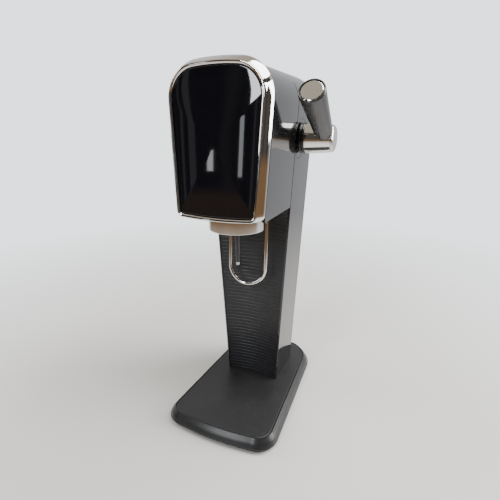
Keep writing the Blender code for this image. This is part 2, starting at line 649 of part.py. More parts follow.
# ---- Bottle collar, nozzle and guide loop -----------------------------------------------------
def build_bottle_fittings():
    top = HEAD_BOTTOM + GAP
    bottom = top - COLLAR_HEIGHT
    inside = COLLAR_RADIUS - COLLAR_WALL
    profile = [
        (COLLAR_FLANGE_HOLE, top), (COLLAR_RADIUS - 0.0005, top), (COLLAR_RADIUS, top - 0.0005),
        (COLLAR_RADIUS, bottom + 0.0008), (COLLAR_RADIUS - 0.0008, bottom), (inside + 0.0006, bottom),
        (inside, bottom + 0.0006), (inside, top - WALL), (COLLAR_FLANGE_HOLE, top - WALL),
    ]
    collar = turned("bottle_collar", profile, CHROME, 48, closed=True)
    for index, (x, y) in enumerate(collar_screw_places(), 1):
        bore = rod_mesh(SCREW_RADIUS + GAP, top - 0.006, top + 0.002, 12)
        outward = math.atan2(y, x) + math.radians(15)  # its edges cross the collar's own between corners
        combine(collar, cutter(f"collar_bore_{index}", bore, location=(x, y, 0), rotation=(0, 0, outward)))
        add_screw(f"collar_screw_{index}", (x, y, top - WALL - GAP), (math.pi, 0, 0), WALL * 2 + 0.0030)

    seal_bore = NOZZLE_RADIUS + 0.0006
    seal_edge = COLLAR_FLANGE_HOLE - GAP
    seal_bottom = top - SEAL_THICKNESS - 0.0012
    seal = [(seal_bore, top), (seal_edge, top), (seal_edge, top - SEAL_THICKNESS),
            (COLLAR_FLANGE_HOLE - 0.0030, seal_bottom), (seal_bore, seal_bottom)]
    turned("bottle_seal", seal, RUBBER, 32, closed=True)

    tip_bottom = HEAD_BOTTOM - NOZZLE_REACH
    tube_bottom = tip_bottom + NOZZLE_TIP_LENGTH
    block_bottom = HEAD_BOTTOM + GAP * 3 + WALL
    block_top = block_bottom + NOZZLE_BLOCK_HEIGHT
    place("nozzle_tube", rod_mesh(NOZZLE_RADIUS, tube_bottom + GAP, block_top - 0.0030, 16), DARK_PLASTIC)
    tip = [(0, tube_bottom), (NOZZLE_TIP_RADIUS, tube_bottom), (NOZZLE_TIP_RADIUS, tip_bottom + 0.0012),
           (NOZZLE_TIP_RADIUS * 0.5, tip_bottom), (0, tip_bottom)]
    turned("nozzle_tip", tip, PALE_PLASTIC, 16)
    stub = NOZZLE_BLOCK_RADIUS * 0.6
    block = [(0, block_top), (stub, block_top), (stub, block_top - 0.005),
             (NOZZLE_BLOCK_RADIUS, block_top - 0.005), (NOZZLE_BLOCK_RADIUS, block_bottom),
             (NOZZLE_RADIUS + GAP, block_bottom), (NOZZLE_RADIUS + GAP, block_top - 0.0027),
             (0, block_top - 0.0027)]
    turned("nozzle_block", block, DARK_PLASTIC, 24)

    build_loop()


def build_loop():
    """The guide loop: a U of bent wire hung on two pins above the underplate."""
    pivot_z = HEAD_BOTTOM + LOOP_PIVOT_RISE
    pivot = axis_empty("loop_axis", (0, LOOP_PIVOT_Y, pivot_z))
    pivot.rotation_euler = (-LOOP_LEAN, 0, 0)
    straight = LOOP_REACH - LOOP_HALF_WIDTH
    bend = [(x, 0, -straight + z) for x, z in arc((0, 0), LOOP_HALF_WIDTH, math.pi, math.tau, 14)]
    stem = -LOOP_EYE_RADIUS - 0.0006
    points = [(-LOOP_HALF_WIDTH, 0, stem), *bend, (LOOP_HALF_WIDTH, 0, stem)]
    place("guide_loop", tube_mesh(points, LOOP_WIRE_RADIUS), CHROME, parent=pivot)
    ear_bottom = HEAD_BOTTOM + GAP * 3 + WALL
    for side, name in ((-1, "left"), (1, "right")):
        x = side * LOOP_HALF_WIDTH
        half = LOOP_EYE_LENGTH / 2
        turned(f"loop_eye_{name}", sleeve(LOOP_PIN_RADIUS + GAP, LOOP_EYE_RADIUS, -half, half), STEEL, 20,
               closed=True, location=(x, 0, 0), rotation=ALONG_X, parent=pivot)
        outer = x - side * (half + BRACKET_CLEARANCE)
        inner = outer - side * BRACKET_THICKNESS
        low_x, high_x = sorted((inner, outer))
        sheet = box_mesh((low_x, LOOP_PIVOT_Y - BRACKET_HALF_DEPTH, ear_bottom),
                         (high_x, LOOP_PIVOT_Y + BRACKET_HALF_DEPTH, pivot_z + BRACKET_HALF_DEPTH))
        ear = place(f"loop_bracket_{name}", sheet, GALVANISED)
        combine(ear, cutter(f"bracket_bore_{name}", rod_mesh(LOOP_PIN_RADIUS + GAP, -0.006, 0.006, 16),
                            location=((inner + outer) / 2, LOOP_PIVOT_Y, pivot_z), rotation=ALONG_X))
        far = x + side * (half + 0.0010)
        pin_low, pin_high = sorted((inner, far))
        place(f"loop_pin_{name}", rod_mesh(LOOP_PIN_RADIUS, pin_low, pin_high, 16), STEEL,
              location=(0, LOOP_PIVOT_Y, pivot_z), rotation=ALONG_X)


# ---- Lever ------------------------------------------------------------------------------------
def build_lever():
    side = tower_half_width(LEVER_Z)
    flange_x = side + FLANGE_STANDOFF
    hub_x = flange_x + FLANGE_THICKNESS + GAP
    hub_end = hub_x + HUB_LENGTH
    cap_x = hub_end + GAP
    bore = SHAFT_RADIUS + GAP

    plate = turned("lever_escutcheon", sleeve(bore + 0.0020, ESCUTCHEON_RADIUS, -WALL, 0.0), GLOSS_BLACK, 40,
                   closed=True, location=(side, LEVER_Y, LEVER_Z),
                   rotation=(0, math.pi / 2 + math.atan(TOWER_TAPER / 2), 0))
    combine(plate, cutter("escutcheon_bore", rod_mesh(bore + 0.0022, 0.040, 0.080, 32), location=LEVER_AXIS,
                          rotation=ALONG_X))

    axis = axis_empty("lever_axis", LEVER_AXIS)
    flange_end = flange_x + FLANGE_THICKNESS
    turned("lever_flange", [(bore, flange_end), (FLANGE_RADIUS - 0.0015, flange_end),
                            (FLANGE_RADIUS, flange_end - 0.0015), (FLANGE_RADIUS, flange_x + 0.0010),
                            (FLANGE_RADIUS - 0.0010, flange_x), (bore, flange_x)],
           GLOSS_BLACK, 40, closed=True, rotation=ALONG_X, parent=axis)
    shaft_end = hub_end - 0.0040
    turned("lever_shaft", [(0, shaft_end), (SHAFT_RADIUS, shaft_end), (SHAFT_RADIUS, -cheek_outer()),
                           (0, -cheek_outer())], STEEL, 24, rotation=ALONG_X, parent=axis)

    def hub_radius(x):
        return HUB_RADIUS_INNER + (HUB_RADIUS_OUTER - HUB_RADIUS_INNER) * (x - hub_x) / HUB_LENGTH

    hub = turned("lever_hub", [(0, hub_end), (HUB_RADIUS_OUTER, hub_end), (HUB_RADIUS_INNER, hub_x),
                               (bore, hub_x), (bore, shaft_end + GAP), (0, shaft_end + GAP)],
                 CHROME, 48, rotation=ALONG_X, parent=axis)
    cap_edge = HUB_RADIUS_OUTER - 0.0002
    turned("hub_end_cap", [(0, cap_x + HUB_CAP_THICKNESS), (cap_edge - 0.0026, cap_x + HUB_CAP_THICKNESS),
                           (cap_edge - 0.0008, cap_x + HUB_CAP_THICKNESS - 0.0010),
                           (cap_edge, cap_x), (0, cap_x)], CHROME, 48, rotation=ALONG_X, parent=axis)

    grip_x = hub_x + GRIP_OFFSET
    grip_angle = (math.pi / 2 - GRIP_ELEVATION, 0, 0)  # leans the grip's own Z axis forward
    end_depth = GRIP_CAP_THICKNESS + GAP
    root = 0.0020
    grip = turned("lever_grip", [
        (0, GRIP_LENGTH - end_depth), (GRIP_CAP_RADIUS + GAP, GRIP_LENGTH - end_depth),
        (GRIP_CAP_RADIUS + GAP, GRIP_LENGTH - 0.0004), (GRIP_CAP_RADIUS + 0.0007, GRIP_LENGTH),
        (GRIP_RADIUS_END - 0.0010, GRIP_LENGTH), (GRIP_RADIUS_END, GRIP_LENGTH - 0.0012),
        (GRIP_RADIUS_ROOT, root), (0, root)], MATT_BLACK, 32,
        location=(grip_x, 0, 0), rotation=grip_angle, parent=axis)
    cutter_end = cap_x + HUB_CAP_THICKNESS + 0.001
    hollow = rod_mesh(hub_radius(hub_x - 0.001) + GAP, hub_x - 0.001, cutter_end, 48,
                      hub_radius(cutter_end) + GAP)
    combine(grip, cutter("grip_root_hollow", hollow, location=LEVER_AXIS, rotation=ALONG_X))
    stud_low, stud_high = bore + 0.0005, GRIP_LENGTH * 0.45
    stud_place = {"location": LEVER_AXIS + Vector((grip_x, 0, 0)), "rotation": grip_angle}
    for piece, name, low, high in ((hub, "hub", 0.0, 0.030), (grip, "grip", 0.0, stud_high + GAP)):
        combine(piece, cutter(f"stud_bore_{name}", rod_mesh(STUD_RADIUS + GAP, low, high, 16), **stud_place))
    place("grip_stud", rod_mesh(STUD_RADIUS, stud_low, stud_high, 16), STEEL, location=(grip_x, 0, 0),
          rotation=grip_angle, parent=axis)
    cap_top, cap_bottom = GRIP_LENGTH - 0.0002, GRIP_LENGTH - GRIP_CAP_THICKNESS
    grip_cap = [(0, cap_top), (GRIP_CAP_RADIUS - 0.0010, cap_top), (GRIP_CAP_RADIUS, cap_top - 0.0006),
                (GRIP_CAP_RADIUS, cap_bottom), (0, cap_bottom)]
    turned("grip_end_cap", grip_cap, CHROME, 32, location=(grip_x, 0, 0), rotation=grip_angle, parent=axis)
    build_cam(axis, bore)


def build_cam(axis, bore):
    """Snail cam: its radius grows steadily over the lever's stroke, then falls back."""
    steps = 40
    rest = math.pi / 2
    outline = []
    for i in range(steps):
        angle = math.tau * i / steps
        turn = (rest - angle) % math.tau
        if turn <= LEVER_STROKE:
            growth = turn / LEVER_STROKE
        elif turn <= LEVER_STROKE + 0.6:
            growth = 1.0
        else:
            growth = max(0.0, 1.0 - (turn - LEVER_STROKE - 0.6) / 1.2)
        radius = CAM_RADIUS + CAM_LIFT * growth
        outline.append((radius * math.cos(angle), radius * math.sin(angle)))
    # The outline is drawn in Y and Z; these two turns stand it across the shaft.
    place("drive_cam", plate_mesh([outline, circle(bore, sides=24)], ROCKER_WIDTH, 40), STEEL,
          rotation=(math.pi / 2, 0, math.pi / 2), parent=axis)


# ---- Mechanism in the head --------------------------------------------------------------------
def cheek_outer():
    """Outer face of the head frame's cheeks, measured from the middle."""
    return tower_half_width(SHELF_BOTTOM) - WALL - CHEEK_CLEARANCE


def build_frame():
    outer = cheek_outer()
    inner = outer - CHEEK_THICKNESS
    top = LEVER_Z + CHEEK_RISE
    trough = [(-outer, top), (-outer, SHELF_BOTTOM), (outer, SHELF_BOTTOM), (outer, top),
              (inner, top), (inner, SHELF_TOP), (-inner, SHELF_TOP), (-inner, top)]
    front = SPINE_FRONT_Y - 0.0045
    rear = CYLINDER_Y + 0.0180
    frame = place("head_frame", plate_mesh([trough], rear - front), GALVANISED,
                  location=(0, (front + rear) / 2, 0), rotation=UPRIGHT)
    combine(frame, cutter("frame_valve_hole", rod_mesh(VALVE_RADIUS + 0.0008, SHELF_BOTTOM - 0.002,
                                                       SHELF_TOP + 0.002, 32), location=(0, CYLINDER_Y, 0)))
    combine(frame, cutter("frame_bush_holes", rod_mesh(BUSH_OUTSIDE + GAP, -0.08, 0.08, 24),
                          location=LEVER_AXIS, rotation=ALONG_X))
    for side, name in ((-1, "left"), (1, "right")):
        bush = [(SHAFT_RADIUS + GAP, inner - GAP - BUSH_FLANGE), (SHAFT_RADIUS + GAP, outer),
                (BUSH_OUTSIDE, outer), (BUSH_OUTSIDE, inner - GAP),
                (BUSH_OUTSIDE + BUSH_LIP, inner - GAP), (BUSH_OUTSIDE + BUSH_LIP, inner - GAP - BUSH_FLANGE)]
        tilt = (0, side * math.pi / 2, 0)
        turned(f"shaft_bush_{name}", bush, BRASS, 24, closed=True, location=LEVER_AXIS, rotation=tilt)
    coil_radius = SHAFT_RADIUS + 0.0026
    turns, per_turn, pitch = 5, 10, 0.0019
    coil = [(coil_radius * math.cos(math.tau * i / per_turn), coil_radius * math.sin(math.tau * i / per_turn),
             pitch * i / per_turn) for i in range(turns * per_turn + 1)]
    place("lever_return_spring", tube_mesh(coil, 0.0007), SPRING_STEEL,
          location=LEVER_AXIS + Vector((-inner + 0.0060, 0, 0)), rotation=ALONG_X)


def rocker_pivot():
    """Y and Z of the rocker's pin."""
    return CYLINDER_Y - ROCKER_THROW, PLUNGER_TOP + 0.0005 + ROCKER_END_RADIUS


def build_valve_train():
    bottom, top = BLOCK_BOTTOM, BLOCK_TOP
    half = BLOCK_WIDTH / 2
    front, rear = CYLINDER_Y - BLOCK_DEPTH / 2, CYLINDER_Y + BLOCK_DEPTH / 2
    pivot_y, pivot_z = rocker_pivot()
    block = place("valve_block", box_mesh((-half, front, bottom), (half, rear, top)), DARK_PLASTIC)
    lug_inner, lug_outer = ROCKER_WIDTH / 2 + 0.0005, ROCKER_WIDTH / 2 + 0.0045
    for side in (-1, 1):
        low_x, high_x = sorted((side * lug_inner, side * lug_outer))
        lug = box_mesh((low_x, pivot_y - 0.0045, top - 0.006), (high_x, front + 0.0080, pivot_z + 0.0045))
        combine(block, cutter(f"lug_{'left' if side < 0 else 'right'}", lug), "UNION")
    relief = cutter("rocker_relief", box_mesh((-lug_inner, front - 0.002, top - 0.004),
                                              (lug_inner, front + 0.0085, top + 0.002)))
    combine(block, relief)
    for name, mesh in (
        ("valve_bore", rod_mesh(VALVE_RADIUS + GAP, bottom - 0.002, VALVE_TOP + GAP, 32)),
        ("plunger_bore", rod_mesh(PLUNGER_RADIUS + GAP, VALVE_TOP, top + 0.002, 20)),
    ):
        combine(block, cutter(name, mesh, location=(0, CYLINDER_Y, 0)))
    combine(block, cutter("rocker_pin_bore", rod_mesh(ROCKER_PIN_RADIUS + GAP, -0.02, 0.02, 16),
                          location=(0, pivot_y, pivot_z), rotation=ALONG_X))
    place("rocker_pin", rod_mesh(ROCKER_PIN_RADIUS, -lug_outer, lug_outer, 16), STEEL,
          location=(0, pivot_y, pivot_z), rotation=ALONG_X)

    rocker_axis = axis_empty("rocker_axis", (0, pivot_y, pivot_z))
    toe = Vector((LEVER_Y - pivot_y, LEVER_Z + CAM_RADIUS + 0.0006 + ROCKER_END_RADIUS - pivot_z))
    heel = Vector((ROCKER_THROW, 0.0))
    pivot = Vector((0.0, 0.0))
    across = (math.pi / 2, 0, math.pi / 2)
    arm = place("rocker_arm", plate_mesh([link_outline(toe, ROCKER_END_RADIUS, pivot, ROCKER_BOSS_RADIUS)],
                                         ROCKER_WIDTH, 40), STEEL, rotation=across, parent=rocker_axis)
    rear = plate_mesh([link_outline(pivot, ROCKER_REAR_RADIUS, heel, ROCKER_END_RADIUS)], ROCKER_WIDTH, 40)
    combine(arm, cutter("rocker_rear_arm", rear, location=rocker_axis.location, rotation=across), "UNION")
    combine(arm, cutter("rocker_bore", rod_mesh(ROCKER_PIN_RADIUS + GAP, -0.02, 0.02, 16),
                        location=rocker_axis.location, rotation=ALONG_X))

    pin_bottom = VALVE_TOP - 0.0060
    pin_top = VALVE_TOP + 0.0032
    plunger_bottom = pin_top + GAP
    plunger = [(0, PLUNGER_TOP), (PLUNGER_HEAD_RADIUS - 0.0006, PLUNGER_TOP),
               (PLUNGER_HEAD_RADIUS, PLUNGER_TOP - 0.0006), (PLUNGER_HEAD_RADIUS, PLUNGER_HEAD_BOTTOM),
               (PLUNGER_RADIUS, PLUNGER_HEAD_BOTTOM), (PLUNGER_RADIUS, plunger_bottom), (0, plunger_bottom)]
    turned("valve_plunger", plunger, BRASS, 20, location=(0, CYLINDER_Y, 0))
    place("valve_pin", rod_mesh(PIN_RADIUS, pin_bottom, pin_top, 12), STEEL, location=(0, CYLINDER_Y, 0))

    turns, per_turn = 3.0, 12
    wire = 0.0004
    low = wire + GAP
    rise = SPRING_SPACE - 2 * low
    count = int(turns * per_turn)
    radius = PLUNGER_RADIUS + 0.0016
    coil = [(radius * math.cos(math.tau * i / per_turn), radius * math.sin(math.tau * i / per_turn),
             low + rise * i / count) for i in range(count + 1)]
    place("plunger_spring", tube_mesh(coil, wire), SPRING_STEEL, location=(0, CYLINDER_Y, BLOCK_TOP))

    spigot = CYLINDER_NECK_BORE - GAP
    spigot_end = VALVE_BOTTOM - VALVE_SPIGOT_LENGTH
    valve = [(PIN_RADIUS + GAP, VALVE_TOP), (VALVE_RADIUS - 0.0010, VALVE_TOP),
             (VALVE_RADIUS, VALVE_TOP - 0.0010), (VALVE_RADIUS, VALVE_BOTTOM), (spigot, VALVE_BOTTOM),
             (spigot, spigot_end), (0, spigot_end), (0, VALVE_TOP - VALVE_BORE_DEPTH),
             (PIN_RADIUS + GAP, VALVE_TOP - VALVE_BORE_DEPTH)]
    turned("cylinder_valve", valve, BRASS, 32, closed=True, location=(0, CYLINDER_Y, 0))
    root = half + GAP
    hexagon_top, tip = root + 0.0060, root + 0.0110
    turned("relief_valve", [(0, tip), (0.0028, tip), (0.0028, hexagon_top), (0.0045, hexagon_top),
                            (0.0045, root), (0, root)], BRASS, 16,
           location=(0, CYLINDER_Y, BLOCK_BOTTOM + 0.0140), rotation=ALONG_X)
    build_hose(front)


def link_outline(start, start_radius, end, end_radius, steps=8):
    """Outline of a flat link: two round ends joined by their outer tangents."""
    run = end - start
    heading = math.atan2(run.y, run.x)
    spread = math.acos((start_radius - end_radius) / run.length)
    return (arc(start, start_radius, heading + spread, heading + math.tau - spread, steps)
            + arc(end, end_radius, heading - spread, heading + spread, steps))


def build_hose(block_front):
    """Gas hose from the valve block over the shaft and down to the nozzle block."""
    x = -0.0115
    start_z = LEVER_Z + 0.0125
    nozzle_top = HEAD_BOTTOM + GAP * 3 + WALL + NOZZLE_BLOCK_HEIGHT
    route = [
        (x, block_front - GAP, start_z),
        (x, LEVER_Y, start_z),
        (x, LEVER_Y - 0.0200, start_z - 0.0030),
        (x * 0.7, LEVER_Y - 0.0420, start_z - 0.0220),
        (x * 0.2, 0.0040, nozzle_top + 0.0200),
        (0.0, 0.0, nozzle_top + 0.0080),
        (0.0, 0.0, nozzle_top + GAP),
    ]
    place("gas_hose", tube_mesh(smooth_route(route, 5), HOSE_RADIUS), HOSE_GREY)


# ---- Gas cylinder -----------------------------------------------------------------------------
def build_cylinder():
    shoulder = NECK_TOP - CYLINDER_NECK_LENGTH - CYLINDER_SHOULDER
    wall = CYLINDER_WALL

    def dome(neck, body, height):
        return [(neck + (body - neck) * math.sin(a), shoulder + height * math.cos(a))
                for a in (math.pi / 2 * i / 6 for i in range(7))]

    bottom = CYLINDER_BOTTOM
    outside = [(CYLINDER_NECK_BORE, NECK_TOP), (CYLINDER_NECK_RADIUS, NECK_TOP),
               *dome(CYLINDER_NECK_RADIUS, CYLINDER_RADIUS, CYLINDER_SHOULDER),
               (CYLINDER_RADIUS, bottom + 0.0060), (CYLINDER_RADIUS - 0.0020, bottom + 0.0015),
               (CYLINDER_RADIUS - 0.0060, bottom), (0, bottom)]
    inside = [(0, bottom + wall), (CYLINDER_RADIUS - 0.0060, bottom + wall),
              (CYLINDER_RADIUS - wall, bottom + 0.0060 + wall),
              *reversed(dome(CYLINDER_NECK_BORE, CYLINDER_RADIUS - wall, CYLINDER_SHOULDER - wall))]
    turned("gas_cylinder", outside + inside, CYLINDER_PAINT, 40, closed=True, location=(0, CYLINDER_Y, 0))
    seat_radius, seat_top = CYLINDER_RADIUS - 0.0040, SEAT_BOTTOM + SEAT_THICKNESS
    seat = [(0, seat_top), (seat_radius, seat_top), (seat_radius, SEAT_BOTTOM), (0, SEAT_BOTTOM)]
    turned("cylinder_seat", seat, RUBBER, 32, location=(0, CYLINDER_Y, 0))


# ---- Build ------------------------------------------------------------------------------------
clear_scene()
PARTS = new_collection("soda_carbonator")
CUTTERS = new_collection("cutters")

GLOSS_BLACK = new_material("gloss_black", (0.010, 0.010, 0.012), 0.08)
PIANO_BLACK = new_material("piano_black", (0.006, 0.006, 0.008), 0.04)
SATIN_BLACK = new_material("satin_black", (0.022, 0.022, 0.023), 0.38)
MATT_BLACK = new_material("matt_black", (0.030, 0.030, 0.030), 0.55)
RIBBED_BLACK = new_material("ribbed_black", (0.026, 0.026, 0.030), 0.42)
FLOOR_GREY = new_material("floor_grey", (0.060, 0.060, 0.062), 0.60)
CHROME = new_material("chrome", (0.82, 0.82, 0.83), 0.05, 1.0)
STEEL = new_material("steel", (0.55, 0.55, 0.56), 0.30, 1.0)
SPRING_STEEL = new_material("spring_steel", (0.40, 0.40, 0.42), 0.35, 1.0)
GALVANISED = new_material("galvanised", (0.62, 0.63, 0.64), 0.45, 1.0)
BRASS = new_material("brass", (0.72, 0.52, 0.22), 0.30, 1.0)
RUBBER = new_material("rubber", (0.015, 0.015, 0.015), 0.80)
DARK_PLASTIC = new_material("dark_plastic", (0.035, 0.035, 0.036), 0.45)
PALE_PLASTIC = new_material("pale_plastic", (0.70, 0.68, 0.62), 0.40)
HOSE_GREY = new_material("hose_grey", (0.25, 0.25, 0.26), 0.55)
CYLINDER_PAINT = new_material("cylinder_paint", (0.16, 0.24, 0.34), 0.35)

build_base()
build_column()
build_head()
build_bottle_fittings()
build_lever()
build_frame()
build_valve_train()
build_cylinder()
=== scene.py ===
"""Studio scene of the countertop soda carbonator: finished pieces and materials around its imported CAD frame.

Metres, +Z up, in the frame of the CAD. The head reaches forward along -Y and the lever sticks out along +X.
Places come from the CAD nodes. Sizes named below are only those of detail that the nodes don't carry.
"""

import json
import math

import bmesh
import bpy
from mathutils import Matrix, Vector


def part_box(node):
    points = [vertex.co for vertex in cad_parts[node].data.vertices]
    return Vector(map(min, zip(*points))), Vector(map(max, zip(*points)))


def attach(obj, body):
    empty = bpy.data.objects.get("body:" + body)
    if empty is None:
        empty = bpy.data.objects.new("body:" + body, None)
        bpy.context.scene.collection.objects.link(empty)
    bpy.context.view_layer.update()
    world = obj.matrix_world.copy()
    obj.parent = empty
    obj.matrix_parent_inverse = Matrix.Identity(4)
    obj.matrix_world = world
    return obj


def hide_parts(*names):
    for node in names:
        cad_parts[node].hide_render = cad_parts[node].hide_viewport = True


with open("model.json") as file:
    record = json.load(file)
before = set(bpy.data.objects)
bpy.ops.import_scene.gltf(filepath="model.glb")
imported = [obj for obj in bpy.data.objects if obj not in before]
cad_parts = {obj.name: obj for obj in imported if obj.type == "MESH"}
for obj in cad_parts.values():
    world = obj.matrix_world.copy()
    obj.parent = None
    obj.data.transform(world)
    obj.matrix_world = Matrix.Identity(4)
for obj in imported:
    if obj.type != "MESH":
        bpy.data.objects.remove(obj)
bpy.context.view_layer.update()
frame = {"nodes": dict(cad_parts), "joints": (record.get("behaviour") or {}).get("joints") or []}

# ---- Sizes of detail --------------------------------------------------------------------------
GAP = 0.0003                   # between touching pieces
WALL = 0.0025                  # moulded housing walls
EDGE = 0.0004                  # rounding of moulded edges
CROWN_RADIUS = 0.260           # gentle arch across the top of the tower
TOP_CORNER_RADIUS = 0.038
SEAM_EDGE = 0.0007             # rounding where two housings meet
LOWER_CORNER_RADIUS = 0.008    # lower corners of the head front
BOTTOM_BOW = 0.0016            # lower edge of the head front bows down at the middle
COVER_EDGE_RADIUS = 0.0220     # rear rim of the rear cover
COVER_CUT_MARGIN = 0.010       # the cover's hollow is cut this far past its open front and foot
BEZEL_DEPTH = 0.0110           # from the head's front plane back to the housing
BEZEL_DRAW_IN = 0.0052         # the bezel's front is this much narrower than the housing, on each side
BEZEL_REBATE = 0.0054          # depth of the inner rim, which the panel sits in
RIM_WIDTH = 0.0040
PANEL_THICKNESS = 0.0026
PANEL_BULGE = 0.0017
PANEL_EDGE = 0.0010            # rounding of the panel's edge
COLUMN_HOLLOW = 0.0054         # the ribbed front lies this much further back at its middle
RIB_PITCH = 0.0052
RIB_GROOVE_WIDTH = 0.0015
RIB_GROOVE_DEPTH = 0.00035
RIB_END_STRIP = 0.0006         # plain strip at the ribbed front's foot and top
LOOP_WIRE = 0.0023             # radius
BASE_WIDTH_FRONT = 0.1526
BASE_WIDTH_REAR = 0.1370
BASE_FRONT_BOW = 0.0036
BASE_FRONT_CORNER = 0.026
BASE_REAR_CORNER = 0.052
BASE_TOP_INSET = 0.0085        # from the skirt's widest line in to the top plate
TOP_PLATE_THICKNESS = 0.0030
LEDGE_WIDTH = 0.0045           # of the skirt's ledge that the top plate rests on
SCREW_BORE = 0.0018            # radius
BOSS_RADIUS = 0.0042
COLLAR_WALL = 0.0028
COLLAR_HOLE = 0.0200           # radius
GRIP_STUD = 0.0035             # radius
GRIP_LENGTH = 0.0864           # from the lever's axis to the grip's end
GRIP_ROOT_RADIUS = 0.0100
GRIP_CAP_SEAT = 0.0023         # depth
CYLINDER_NECK = 0.0135         # radius
CYLINDER_NECK_BORE = 0.0088    # radius
CYLINDER_NECK_LENGTH = 0.0100
CYLINDER_SHOULDER = 0.0240     # height
CYLINDER_WALL = 0.0026
LEVEL_TOLERANCE = 0.0003       # a node's corner this close to a height counts as being at it


# ---- What the frame says ----------------------------------------------------------------------
def low(node):
    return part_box(node)[0]


def high(node):
    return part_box(node)[1]


def centre(node):
    return (low(node) + high(node)) / 2


def corners_near(node, height):
    return [v.co for v in frame["nodes"][node].data.vertices if abs(v.co.z - height) < LEVEL_TOLERANCE]


def half_width_near(node, height):
    """The largest X of a node's corners close to a height."""
    return max(corner.x for corner in corners_near(node, height))


def joint(name):
    return next(j for j in frame["joints"] if j["name"] == name)


TOP = high("column_shell").z
FRONT_TOP = high("front_bezel").z  # the head front's crown stands a little above the housing's
FOOT = low("column_shell").z
HEAD_BOTTOM = low("head_shell").z
COLUMN_FRONT = low("column_shell").y
COVER_SEAM = high("column_shell").y
COVER_FRONT = low("rear_cover").y
COVER_REAR = high("rear_cover").y
HEAD_SEAM = high("head_shell").y
FOOT_HALF = half_width_near("column_shell", FOOT)
HEAD_HALF = half_width_near("head_shell", HEAD_BOTTOM)
TAPER = (HEAD_HALF - FOOT_HALF) / (HEAD_BOTTOM - FOOT)
STRETCH = math.hypot(1.0, TAPER)  # level distance across the leaning side, for each metre square to it
SHELL_FRONT = [min(corner.y for corner in corners_near("head_shell", z)) for z in (HEAD_BOTTOM, TOP)]
LEAN = (SHELL_FRONT[1] - SHELL_FRONT[0]) / (TOP - HEAD_BOTTOM)
LEVER_AXIS = Vector(joint("lever_pull")["pos_m"])
LOOP_AXIS = Vector(joint("guide_loop_swing")["pos_m"])
CYLINDER_AXIS = Vector((centre("gas_cylinder").x, centre("gas_cylinder").y, 0.0))


def half_width(z):
    """Half the outer width of the tower at a height."""
    return FOOT_HALF + (z - FOOT) * TAPER


def head_front(z):
    """Y of the head's leaning front plane at a height."""
    return SHELL_FRONT[0] - BEZEL_DEPTH - GAP + (z - HEAD_BOTTOM) * LEAN


# ---- Outlines ---------------------------------------------------------------------------------
def arc(middle, radius, start, end, steps):
    angles = [start + (end - start) * i / steps for i in range(steps + 1)]
    return [(middle[0] + radius * math.cos(a), middle[1] + radius * math.sin(a)) for a in angles]


def arch(inset, z_low, top=TOP, corner_steps=28, crown_steps=24, side_steps=6):
    """The tower seen from the front, drawn in by an inset: up the right side, over the top, down the left."""
    crown_z = top - CROWN_RADIUS
    shift = half_width(0.0) - TOP_CORNER_RADIUS * STRETCH
    reach = CROWN_RADIUS - TOP_CORNER_RADIUS
    a, b = TAPER**2 + 1, 2 * (TAPER * shift - crown_z)
    corner_z = (-b + math.sqrt(b * b - 4 * a * (shift**2 + crown_z**2 - reach**2))) / (2 * a)
    corner_x = shift + TAPER * corner_z
    side_angle = math.atan2(-TAPER, 1.0)
    crown_angle = math.atan2(corner_z - crown_z, corner_x)
    corner = arc((corner_x, corner_z), TOP_CORNER_RADIUS - inset, side_angle, crown_angle, corner_steps)
    foot = (half_width(z_low) - inset * STRETCH, z_low)
    side = [tuple(Vector(foot).lerp(Vector(corner[0]), i / side_steps)) for i in range(side_steps)]
    crown = arc((0.0, crown_z), CROWN_RADIUS - inset, crown_angle, math.pi - crown_angle, crown_steps)
    right = side + corner
    return right + crown[1:-1] + [(-x, z) for x, z in reversed(right)]


def face_outline(inset, lift):
    """Closed outline of the head front: the arch above, round lower corners and a bowed lower edge."""
    bottom = HEAD_BOTTOM + lift
    radius = max(LOWER_CORNER_RADIUS - lift, 0.003)
    corner_z = bottom + radius
    corner_x = half_width(corner_z) - (inset + radius) * STRETCH
    corner = arc((corner_x, corner_z), radius, -math.pi / 2, math.atan2(-TAPER, 1.0), 12)
    steps = 16
    lower = [(corner_x * i / steps, bottom - BOTTOM_BOW * (1 - (i / steps) ** 2)) for i in range(1 - steps, steps)]
    return lower + corner + arch(inset, corner_z, FRONT_TOP)[1:-1] + [(-x, z) for x, z in reversed(corner)]


def face_loop(inset, lift, depth):
    """That outline in space, a depth behind the leaning front plane."""
    return [(x, head_front(z) + depth, z) for x, z in face_outline(inset, lift)]


def base_outline(inset, corner_steps=26, front_steps=16):
    """Closed outline of the base seen from above, from the left end of its bowed front edge."""
    front = low("base_shell").y + BASE_FRONT_BOW + inset
    rear = high("base_shell").y - inset
    front_radius, rear_radius = BASE_FRONT_CORNER - inset, BASE_REAR_CORNER - inset
    half_front, half_rear = BASE_WIDTH_FRONT / 2 - inset, BASE_WIDTH_REAR / 2 - inset
    lean = math.atan2(half_front - half_rear, rear - front - front_radius - rear_radius)
    flat = half_front - front_radius
    bowed = [(flat * i / front_steps, front - BASE_FRONT_BOW * (1 - (i / front_steps) ** 2))
             for i in range(1 - front_steps, front_steps)]
    right = arc((flat, front + front_radius), front_radius, -math.pi / 2, lean, corner_steps)
    right += arc((half_rear - rear_radius, rear - rear_radius), rear_radius, lean, math.pi / 2, corner_steps)
    return bowed + right + [(-x, y) for x, y in reversed(right)]


def base_loop(inset, z):
    return [(x, y, z) for x, y in base_outline(inset)]


